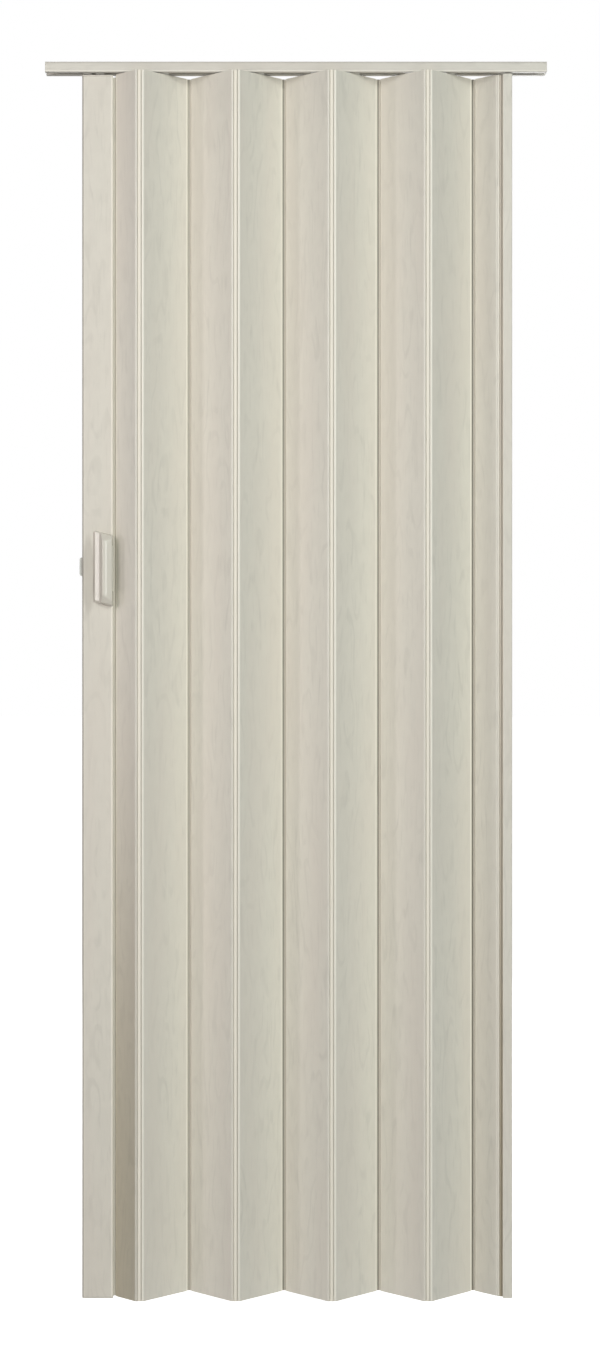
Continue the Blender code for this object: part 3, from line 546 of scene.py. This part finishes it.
def banded(shader, colour, across, bands):
    """Multiplies a colour by a factor from a start across the piece to an end, and beyond it."""
    for start, end, by in bands:
        amount = across.between(start, end) if end > start else 1.0 - across.between(end, start)
        colour = shader.tinted(amount, colour, (by, by, by))
    return colour


def shaded_towards_foot(shader, colour, spot, most, shade_lift=0.0):
    """Painted shade: darker and yellower towards the foot of a piece, less so under a painted front-edge
    highlight.
    """
    amount = (-shader.part(spot, "Z")).between(*FOOT_SHADE_DROP) * (1.0 - shade_lift)
    return shader.tinted(amount, colour, [1.0 - share * most for share in FOOT_SHADE_SHARES])


def shadowed_by_pull(shader, colour, spot):
    """Painted shadow: darker in a soft oval beside the pull."""
    aside = (shader.part(spot, "X") - PULL_SHADOW_MIDDLE[0]) * (1.0 / PULL_SHADOW_SIZE[0])
    above = (shader.part(spot, "Z") - PULL_SHADOW_MIDDLE[1]) * (1.0 / PULL_SHADOW_SIZE[1])
    near = 1.0 - (aside * aside + above * above).between(*PULL_SHADOW_EDGE)
    return shader.tinted(near, colour, PULL_SHADOW_TINT)


def wood_figure(shader, spot):
    """The parts of a wood grain that runs along Z, each from 0 to 1."""
    field = shader.noise(spot, RING_WAVES, roughness=0.45)
    breaks = shader.noise(spot, BREAK_WAVES, detail=1.0)
    flecks = shader.noise(spot, FLECK_WAVES, detail=1.5, roughness=0.55)
    pores = shader.noise(spot, PORE_WAVES, detail=1.0)
    clouds = shader.noise(spot, CLOUD_WAVES, roughness=0.6)
    return {
        "rings": (field * RING_TURNS).sine().between(*RING_LEVELS) * breaks.between(*BREAK_LEVELS),
        "flecks": flecks.between(*FLECK_LEVELS),
        "streaks": shader.noise(spot, STREAK_WAVES, roughness=0.6),
        "pores": pores.between(*PORE_LEVELS),
        "clouds": clouds.between(*CLOUD_LEVELS),
    }


def printed(shader, spot, grain, tone):
    """The grain inked on pale vinyl, a little pinker in patches."""
    ink = grain["rings"] * RING_INK + grain["flecks"] * FLECK_INK + grain["pores"] * PORE_INK
    ink = ink + (1.0 - grain["streaks"]) * STREAK_INK + grain["clouds"] * CLOUD_INK
    colour = shader.mix(ink.least(1.0), toned(tone, PALE_PRINT), toned(tone, DARK_PRINT))
    patches = shader.noise(spot, BLUSH_WAVES).between(*BLUSH_LEVELS)
    pink = [channel * by for channel, by in zip(tone, BLUSH)] + [1.0]
    return shader.mix(patches * BLUSH_STRENGTH, colour, pink)


def embossed(shader, spot, grain):
    """The slow waves of a thin wall, with the grain pressed into it."""
    waves = shader.bump(shader.noise(spot, WALL_WAVES, detail=0.0), WALL_DEPTH)
    relief = grain["streaks"] * STREAK_RELIEF - grain["rings"] * RING_RELIEF
    relief = relief - grain["flecks"] * FLECK_RELIEF - grain["pores"]
    return shader.bump(relief, GRAIN_DEPTH, GRAIN_STRENGTH, Normal=waves)


def highlighted_edges(shader, colour, spot, tone, reach, hand, front, lips):
    """A panel's colour with painted light towards its rear and painted highlights on its edges and short
    lips, and how much smoother they are and how much painted foot shade they lift.

    reach is how far the edges are from the panel's middle. Its socket lips reach furthest at the front on one
    side and at the back on the other, and hand says which. front and lips are strengths.
    """
    across = shader.part(spot, "X")
    away = abs(across)
    rear = (across * hand).between(-reach, reach)
    colour = shader.tinted(rear, colour, REAR_BOUNCE_TINT)
    edge = away.between(reach - EDGE_HIGHLIGHT_SPAN[0], reach - EDGE_HIGHLIGHT_SPAN[1])
    colour = shader.mix(edge * (EDGE_HIGHLIGHT_STRENGTH + (1.0 - rear) * front), colour, toned(tone, EDGE_HIGHLIGHT_TONE))
    short_side = (across * shader.part(spot, "Y") * -hand) > 0.0
    short = reach - LIP_REACH
    lip = short_side * away.between(short - LIP_HIGHLIGHT_SPAN[0], short - LIP_HIGHLIGHT_SPAN[1])
    colour = shader.mix(lip * lips, colour, toned(tone, LIP_HIGHLIGHT_TONE))
    return colour, edge.most(lip) * HIGHLIGHT_SHINE, edge * (1.0 - rear) * HIGHLIGHT_SHADE_LIFT


def whitewashed(
    name, tone, centre=(0, 0, 0), turn=(0, 0, 0), cut=0.0, bands=(), edges=None, foot_shade=0.0, pull_shadow=False
):
    """Vinyl printed and embossed with a pale wood grain that runs along the piece's own Z.

    cut is how far along the print the piece was cut from, so that neighbours look different. What follows it
    is painted light: highlights and shade in bands and along the edges, shade towards the foot, and the
    pull's shadow.
    """
    made, shader = new_material(name)
    spot = shader.place(centre, turn)
    print_spot = shader.vector("ADD", spot, (0.0, 0.0, cut))
    grain = wood_figure(shader, print_spot)
    colour = printed(shader, print_spot, grain, tone)
    colour = banded(shader, colour, shader.part(spot, "X"), bands)
    rough = PRINT_ROUGH + grain["streaks"] * STREAK_ROUGH + grain["pores"] * PORE_ROUGH
    shade_lift = 0.0
    if edges:
        colour, smoother, shade_lift = highlighted_edges(shader, colour, spot, tone, **edges)
        rough = rough - smoother
    if foot_shade:
        colour = shaded_towards_foot(shader, colour, spot, foot_shade, shade_lift)
    if pull_shadow:
        colour = shadowed_by_pull(shader, colour, spot)
    normal = embossed(shader, print_spot, grain)
    return finished(made, shader, colour, rough, normal, Specular_IOR_Level=0.42)


def extruded_vinyl(name, tone, centre, bands=(), crease=None, crease_shading=1.0, foot_shade=0.0):
    """Soft vinyl with the faint draw lines of its die along Z, and painted shade in the crease of a fold."""
    made, shader = new_material(name)
    spot = shader.place(centre)
    lines = shader.noise(spot, DIE_LINE_WAVES, roughness=0.6)
    clouds = shader.noise(spot, STRIP_CLOUD_WAVES)
    colour = mottled(shader, lines * 0.5 + clouds * 0.5, tone, STRIP_MOTTLE)
    across = shader.part(spot, "X")
    colour = banded(shader, colour, across, bands)
    if crease:
        middle, inner, outer = crease
        in_crease = 1.0 - abs(across - middle).between(inner, outer)
        crease_shade = in_crease * (EVEN_CREASE_SHADE + clouds * CLOUDY_CREASE_SHADE)
        colour = shader.mix(crease_shade.least(1.0) * crease_shading, colour, linear(CREASE_SHADE_COLOUR))
    if foot_shade:
        colour = shaded_towards_foot(shader, colour, spot, foot_shade)
    rough = STRIP_ROUGH + clouds * STRIP_CLOUD_ROUGH
    normal = shader.bump(lines, FINE_DEPTH, strength=0.5)
    return finished(made, shader, colour, rough, normal, Specular_IOR_Level=0.5)


def moulded(name, levels, rough, **fixed):
    """Injection-moulded plastic with a fine even texture."""
    made, shader = new_material(name)
    spot = shader.place()
    texture = shader.noise(spot, MOULD_WAVES, roughness=0.6)
    colour = mottled(shader, shader.noise(spot, MOULD_CLOUD_WAVES), linear(levels), MOULD_MOTTLE)
    normal = shader.bump(texture, FINE_DEPTH, strength=0.6)
    return finished(made, shader, colour, rough + texture * MOULD_ROUGH, normal, **fixed)


def zinc_plate():
    """Bright zinc plating on small steel parts."""
    made, shader = new_material("zinc_plate")
    clouds = shader.noise(shader.place(), ZINC_WAVES, detail=3.0, roughness=0.6)
    colour = shader.mix(clouds, linear(ZINC_DARK), linear(ZINC_BRIGHT))
    rough = ZINC_ROUGH + clouds * ZINC_CLOUD_ROUGH
    normal = shader.bump(clouds, FINE_DEPTH, strength=0.5)
    return finished(made, shader, colour, rough, normal, Metallic=1.0)


# Meshes and objects


def mesh_of(bm, name):
    mesh = bpy.data.meshes.new(name)
    bm.to_mesh(mesh)
    bm.free()
    return mesh


def blank_of(mesh):
    blank = bpy.data.objects.new("blank", mesh)
    bpy.context.scene.collection.objects.link(blank)
    return blank


def evaluated(name, source, place=None):
    """A plain object from another's evaluated mesh. The other is removed."""
    bpy.context.view_layer.update()
    graph = bpy.context.evaluated_depsgraph_get()
    mesh = bpy.data.meshes.new_from_object(source.evaluated_get(graph))
    mesh.name = name
    if place:
        mesh.transform(place)
    bpy.data.objects.remove(source)
    piece = bpy.data.objects.new(name, mesh)
    bpy.context.scene.collection.objects.link(piece)
    return piece


def stands_for(piece, *nodes):
    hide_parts(*nodes)
    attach(piece, body_of(nodes[0]))


def cleaned(node):
    """A copy of a CAD node's mesh with its loose triangles joined."""
    bm = bmesh.new()
    bm.from_mesh(NODES[node].data)
    bmesh.ops.remove_doubles(bm, verts=bm.verts, dist=WELD)
    return bm


def whole_faced(node, skin):
    """A copy of a CAD node with whole flat faces, to be finished with modifiers."""
    bm = cleaned(node)
    bmesh.ops.dissolve_limit(bm, angle_limit=FLAT, verts=bm.verts, edges=bm.edges)
    for face in bm.faces:
        face.smooth = True
    mesh = mesh_of(bm, "blank")
    mesh.materials.append(skin)
    return blank_of(mesh)


def weigh_normals(blank):
    """Keeps large flat faces flat to the eye beside small rounds."""
    blank.modifiers.new("weigh", "WEIGHTED_NORMAL").weight = FACE_WEIGHT


def shade_by_angle(blank):
    """Keeps the sharp edges of a turned part sharp."""
    for edge in blank.data.edges:
        edge.use_edge_sharp = False
    blank.data.set_sharp_from_angle(angle=SHARP)


def turned(profile, along):
    """A blank from points (radius, height), swept round the Y or Z axis through the origin."""
    bm = bmesh.new()
    axis = Vector((0, 1, 0)) if along == "Y" else Vector((0, 0, 1))
    line = [bm.verts.new(Vector((radius, 0, 0)) + axis * height) for radius, height in profile]
    swept = line + [bm.edges.new(pair) for pair in zip(line, line[1:])]
    round_axis = {"cent": (0, 0, 0), "axis": axis, "angle": math.tau, "steps": TURN_STEPS}
    bmesh.ops.spin(bm, geom=swept, use_merge=True, **round_axis)
    bmesh.ops.remove_doubles(bm, verts=bm.verts, dist=WELD)
    bmesh.ops.recalc_face_normals(bm, faces=bm.faces)
    for face in bm.faces:
        face.smooth = True
    return blank_of(mesh_of(bm, "turned"))


# Shape trees


def shape_tree(name, **sizes):
    """A Geometry Nodes tree with named inputs, and a function that adds a node to it."""
    tree = bpy.data.node_groups.new(name, "GeometryNodeTree")
    for label, kind in {"Geometry": "Geometry", **sizes, "Finish": "Material"}.items():
        tree.interface.new_socket(label, in_out="INPUT", socket_type=f"NodeSocket{kind}")
    tree.interface.new_socket("Geometry", in_out="OUTPUT", socket_type="NodeSocketGeometry")

    def node(kind, settings=None, **inputs):
        made = tree.nodes.new(kind)
        for name, setting in (settings or {}).items():
            setattr(made, name, setting)
        for name, value in inputs.items():
            socket = made.inputs[name.replace("_", " ")]
            if isinstance(value, bpy.types.NodeSocket):
                tree.links.new(value, socket)
            else:
                socket.default_value = value
        return made

    return tree, node


def finish_tree(tree, node, shape, finish):
    """Ends a tree with a plain mesh in its material."""
    smooth = node("GeometryNodeSetShadeSmooth", Geometry=shape, Shade_Smooth=True).outputs[0]
    real = node("GeometryNodeRealizeInstances", Geometry=smooth).outputs[0]
    closed = node("GeometryNodeMergeByDistance", Geometry=real, Distance=WELD).outputs[0]
    done = node("GeometryNodeSetMaterial", Geometry=closed, Material=finish).outputs[0]
    tree.links.new(done, node("NodeGroupOutput").inputs["Geometry"])
    return tree


def row_tree():
    """Sets a part out in a straight row, each one turned about Z from the one before."""
    tree, node = shape_tree("row", Count="Int", Start="Vector", Step="Vector", Turn="Float")
    given = node("NodeGroupInput").outputs
    line = {"Count": given["Count"], "Start_Location": given["Start"], "Offset": given["Step"]}
    spots = node("GeometryNodeMeshLine", **line).outputs["Mesh"]
    number = node("GeometryNodeInputIndex").outputs[0]
    angle = node("ShaderNodeMath", {"operation": "MULTIPLY"})
    tree.links.new(number, angle.inputs[0])
    tree.links.new(given["Turn"], angle.inputs[1])
    turn = node("ShaderNodeCombineXYZ", Z=angle.outputs[0]).outputs[0]
    row = node("GeometryNodeInstanceOnPoints", Points=spots, Instance=given["Geometry"], Rotation=turn)
    return finish_tree(tree, node, row.outputs[0], given["Finish"])


def section_tree():
    """Rounds every corner of an outline a little, fills it and draws it out to a length."""
    tree, node = shape_tree("drawn_section", Length="Float", Fillet="Float")
    given = node("NodeGroupInput").outputs
    line = node("GeometryNodeMeshToCurve", Mesh=given["Geometry"]).outputs["Curve"]
    rounds = {"Curve": line, "Count": FILLET_STEPS, "Radius": given["Fillet"], "Limit_Radius": True}
    soft = node("GeometryNodeFilletCurve", {"mode": "POLY"}, **rounds).outputs["Curve"]
    flat = node("GeometryNodeFillCurve", {"mode": "TRIANGLES"}, Curve=soft).outputs["Mesh"]
    draw = {"Mesh": flat, "Offset_Scale": given["Length"], "Individual": False}
    raised = node("GeometryNodeExtrudeMesh", {"mode": "FACES"}, **draw).outputs["Mesh"]
    under = node("GeometryNodeFlipFaces", Mesh=flat).outputs["Mesh"]
    both = node("GeometryNodeJoinGeometry")
    for part in (raised, under):
        tree.links.new(part, both.inputs[0])
    return finish_tree(tree, node, both.outputs[0], given["Finish"])


def set_tree(blank, tree, **inputs):
    """Gives a blank the tree, with its inputs set by their identifiers."""
    modifier = blank.modifiers.new("shape", "NODES")
    modifier.node_group = tree
    known = {item.name: item.identifier for item in tree.interface.items_tree if item.in_out == "INPUT"}
    for name, value in inputs.items():
        modifier[known[name]] = value


# Pieces


def section(node):
    """The outline of an extrusion's upper end as bare edges at height 0, its foot's height and its length."""
    bm = cleaned(node)
    top = max(v.co.z for v in bm.verts)
    low = min(v.co.z for v in bm.verts)
    rim = []
    for edge in bm.edges:
        if all(abs(v.co.z - top) < WELD for v in edge.verts):
            ends = [face for face in edge.link_faces if face.normal.z > END_FACES_UP]
            if len(ends) == 1:
                rim.append([tuple(v.co) for v in edge.verts])
    bm.free()
    corners = sorted({corner for pair in rim for corner in pair})
    order = {corner: index for index, corner in enumerate(corners)}
    points = [(x, y, 0.0) for x, y, z in corners]
    lines = [(order[first], order[second]) for first, second in rim]
    mesh = bpy.data.meshes.new("section")
    mesh.from_pydata(points, lines, [])
    return mesh, low, top - low


def drawn(node, name, tree, fillet, finish):
    """An extruded piece with soft corners in place of a CAD node."""
    mesh, low, length = section(node)
    blank = blank_of(mesh)
    set_tree(blank, tree, Length=length, Fillet=fillet, Finish=finish)
    weigh_normals(blank)
    stands_for(evaluated(name, blank, Matrix.Translation((0, 0, low))), node)


def softened(node, name, width, skin):
    """A CAD node with its sharp edges broken by a small round."""
    blank = whole_faced(node, skin)
    edge = blank.modifiers.new("round", "BEVEL")
    edge.width = width
    edge.segments = ROUND_STEPS
    edge.limit_method = "ANGLE"
    edge.angle_limit = SHARP
    weigh_normals(blank)
    stands_for(evaluated(name, blank), node)


def pull(node, name, skin):
    """A handle's moulding with every corner softened, inner ones too."""
    blank = whole_faced(node, skin)
    cells = blank.modifiers.new("cells", "REMESH")
    cells.mode = "VOXEL"
    cells.voxel_size = PULL_GRAIN
    cells.use_smooth_shade = True
    relax = blank.modifiers.new("relax", "SMOOTH")
    relax.factor = PULL_RELAX
    relax.iterations = PULL_ROUNDS
    piece = evaluated(name, blank)
    piece.data.materials.clear()
    piece.data.materials.append(skin)
    stands_for(piece, node)


def wheel_pair(number, tree, skin):
    """Two wheels on one axle: half of it is turned, and the row sets the other half against it."""
    node = f"wheel_pair_{number}"
    low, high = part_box(node)
    radius = (high.z - low.z) / 2
    outer = (high.y - low.y) / 2
    inner = outer - WHEEL_WIDTH
    half = WHEEL_CROWN / 2
    web = outer - WHEEL_CROWN - GROOVE_DEPTH
    axle = [(AXLE_RADIUS, 0), (AXLE_RADIUS, -inner + half), (AXLE_RADIUS + half, -inner)]
    tread = [
        (radius - WHEEL_CROWN, -inner),
        (radius - half / 4, -inner - half),
        (radius, -inner - WHEEL_CROWN - half),
        (radius, -outer + WHEEL_CROWN + half),
        (radius - half / 4, -outer + WHEEL_CROWN),
        (radius - WHEEL_CROWN, -outer + half),
    ]
    groove = [
        (GROOVE[1] + half / 2, -outer + half),
        (GROOVE[1], -outer + WHEEL_CROWN),
        (GROOVE[1] - half, -web),
        (GROOVE[0] + half, -web),
        (GROOVE[0], -outer + WHEEL_CROWN),
    ]
    hub = [
        (WHEEL_HUB, -outer + half / 2),
        (WHEEL_HUB - half / 2, -outer),
        (AXLE_RADIUS, -outer),
        (AXLE_RADIUS - half, -outer + half),
        (0, -outer + half),
    ]
    blank = turned(axle + tread + groove + hub, "Y")
    shade_by_angle(blank)
    set_tree(blank, tree, Count=2, Start=(0, 0, 0), Step=(0, 0, 0), Turn=math.pi, Finish=skin)
    stands_for(evaluated(f"{node}_turned", blank, Matrix.Translation(centre_of(node))), node)


def swivel_pin(number, skin):
    node = f"trolley_pin_{number}"
    low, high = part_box(node)
    head = (high.x - low.x) / 2
    foot = low.z + PIN_FOOT
    under = high.z - PIN_HEAD
    profile = [(0, low.z), (PIN_FOOT_RADIUS - PIN_ROUND, low.z), (PIN_FOOT_RADIUS, low.z + PIN_ROUND)]
    profile += [(PIN_FOOT_RADIUS, foot), (PIN_RADIUS, foot), (PIN_RADIUS, under), (head, under)]
    profile += [(head, high.z - PIN_ROUND), (head - PIN_ROUND, high.z), (0, high.z)]
    blank = turned(profile, "Z")
    blank.data.materials.append(skin)
    shade_by_angle(blank)
    middle = centre_of(node)
    stands_for(evaluated(f"{node}_turned", blank, Matrix.Translation((middle.x, middle.y, 0))), node)


def screw_profile(tip, top, head):
    """Half a screw's outline from its tip to the top of its head, which has this radius."""
    root = SCREW_RADIUS - THREAD_DEPTH
    crest = THREAD_PITCH / 2
    under = top - SCREW_HEAD
    turns = int(THREAD_LENGTH / THREAD_PITCH)
    profile = [(0, tip), (SCREW_TIP, tip + SCREW_RADIUS / 2)]
    for number in range(turns + 1):
        start = tip + SCREW_RADIUS + number * THREAD_PITCH
        profile += [(root, start), (SCREW_RADIUS, start + crest)]
    profile += [(SCREW_RADIUS, under), (head, under)]
    for angle in DOME_ANGLES:
        rise = HEAD_RIM + (1.0 - HEAD_RIM) * math.sin(angle)
        profile.append((head * math.cos(angle), under + SCREW_HEAD * rise))
    return profile + [(0, top)]


def cross_recess(top):
    """A cross-shaped cutter for a driver, along Y down from the head's top."""
    shorter, narrower = RECESS_FLOOR
    bm = bmesh.new()
    for turn in (0, math.pi / 2):
        made = bmesh.ops.create_cube(bm, size=1)["verts"]
        for vert in made:
            deep = vert.co.y < 0
            vert.co.x *= 2 * RECESS_REACH * (shorter if deep else 1.0)
            vert.co.z *= RECESS_WIDTH * (narrower if deep else 1.0)
            vert.co.y = top - RECESS_DEPTH if deep else top + RECESS_DEPTH
        bmesh.ops.rotate(bm, verts=made, cent=(0, 0, 0), matrix=Matrix.Rotation(turn, 3, "Y"))
    return blank_of(mesh_of(bm, "recess"))


def handle_screws(tree, skin):
    """The two screws through the post that join the pulls, as one piece."""
    first, last = centre_of("handle_screw_bottom"), centre_of("handle_screw_top")
    low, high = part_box("handle_screw_bottom")
    blank = turned(screw_profile(low.y, high.y, (high.x - low.x) / 2), "Y")
    cutter = cross_recess(high.y)
    cut = blank.modifiers.new("recess", "BOOLEAN")
    cut.operation = "DIFFERENCE"
    cut.solver = "EXACT"
    cut.use_self = True
    cut.object = cutter
    plain = evaluated("blank", blank)
    bpy.data.objects.remove(cutter)
    shade_by_angle(plain)
    set_tree(plain, tree, Count=2, Start=(first.x, 0, first.z), Step=last - first, Turn=0.0, Finish=skin)
    stands_for(evaluated("handle_screws", plain), "handle_screw_top", "handle_screw_bottom")


# The door, from its panels to its screws


def half_width(node, lean):
    """Half of a leaning panel's width, measured along the panel."""
    middle = centre_of(node)
    along = Vector((math.cos(lean), math.sin(lean), 0))
    return max(abs((v.co - middle).dot(along)) for v in NODES[node].data.vertices)


def panels(tree):
    """Every panel in its own stretch of the print, with painted highlights and shade as its place and lean
    call for.
    """
    for number, node in enumerate(PANELS + HALF_PANELS):
        leans_left = node in LEANS_LEFT
        hand = -1.0 if leans_left else 1.0
        lean = hand * FOLD
        faint_lips = leans_left and node != "half_panel_left"
        edges = {
            "reach": half_width(node, lean),
            "hand": hand,
            "front": FRONT_HIGHLIGHT_LEFT if leans_left else FRONT_HIGHLIGHT_RIGHT,
            "lips": FAINT_LIP_HIGHLIGHT if faint_lips else LIP_HIGHLIGHT_STRENGTH,
        }
        tone = toned(linear(PANEL_COLOUR), PANEL_TONE * PANEL_TONES.get(node, 1.0))
        marks = {"cut": PRINT_STEP * number, "edges": edges, "foot_shade": FOOT_SHADE.get(node, 0.0)}
        skin = whitewashed(f"{node}_vinyl", tone, centre_of(node), (0, 0, lean), **marks)
        drawn(node, f"{node}_skin", tree, PANEL_FILLET, skin)


def hinge_strips(tree):
    for node in STRIPS + POST_STRIPS:
        kind = node.split("_")[0]
        tone = toned(linear(STRIP_COLOUR), STRIP_TONE * STRIP_TONES.get(kind, 1.0))
        # Painted shade in the valley and jamb strips' creases, at the jamb strip's foot and in the ridge
        # strips' grooves
        marks = {"crease": CREASES.get(node), "crease_shading": CREASE_SHADE_STRENGTH.get(node, 1.0), "foot_shade": FOOT_SHADE.get(node, 0.0)}
        if kind == "ridge":
            marks["bands"] = RIDGE_GROOVE_SHADE
        skin = extruded_vinyl(f"{node}_vinyl", tone, centre_of(node), **marks)
        drawn(node, f"{node}_web", tree, STRIP_FILLET, skin)


def track_and_posts():
    # Painted highlights and shade in bands along the posts' edges and the track, and the pull's painted
    # shadow on the lead post
    tone = linear(POST_COLOUR)
    lead = {"bands": LEAD_LIGHT_AND_SHADE, "pull_shadow": True}
    jamb = {"bands": JAMB_LIGHT_AND_SHADE, "cut": -PRINT_STEP}
    along_track = (0, math.radians(90), 0)
    cap_skin = whitewashed("post_vinyl", tone)
    lead_skin = whitewashed("lead_post_vinyl", toned(tone, LEAD_TONE), centre_of("lead_post"), **lead)
    jamb_skin = whitewashed("jamb_post_vinyl", toned(tone, JAMB_TONE), centre_of("jamb_post"), **jamb)
    track_skin = whitewashed("track_vinyl", linear(TRACK_COLOUR), turn=along_track, bands=TRACK_LIGHT_AND_SHADE)
    softened("track", "track_channel", TRACK_ROUND, track_skin)
    softened("lead_post", "lead_post_shell", POST_ROUND, lead_skin)
    softened("jamb_post", "jamb_post_shell", POST_ROUND, jamb_skin)
    for end in ("top", "bottom"):
        softened(f"lead_{end}_cap", f"lead_{end}_cap_moulded", CAP_ROUND, cap_skin)


def pulls_and_latch():
    pull_skin = moulded("handle_plastic", PULL_COLOUR, PULL_ROUGH, Specular_IOR_Level=0.7)
    latch_skin = moulded("latch_plastic", LATCH_COLOUR, LATCH_ROUGH)
    for side in ("front", "back"):
        pull(f"handle_{side}", f"pull_{side}", pull_skin)
    softened("latch_bolt", "latch_bolt_moulded", LATCH_ROUND, latch_skin)
    softened("latch_turn", "thumb_turn", LATCH_ROUND, latch_skin)


def running_gear_and_screws(tree):
    nylon = moulded("nylon", NYLON_COLOUR, NYLON_ROUGH)
    zinc = zinc_plate()
    for number in TROLLEY_NUMBERS:
        softened(f"trolley_{number}", f"trolley_{number}_carriage", NYLON_ROUND, nylon)
    for node in HANGERS:
        softened(node, f"{node}_block", NYLON_ROUND, nylon)
    for number in TROLLEY_NUMBERS:
        wheel_pair(number, tree, nylon)
        swivel_pin(number, zinc)
    handle_screws(tree, zinc)


camera()
studio()
drawn_section = section_tree()
panels(drawn_section)
hinge_strips(drawn_section)
track_and_posts()
pulls_and_latch()
running_gear_and_screws(row_tree())
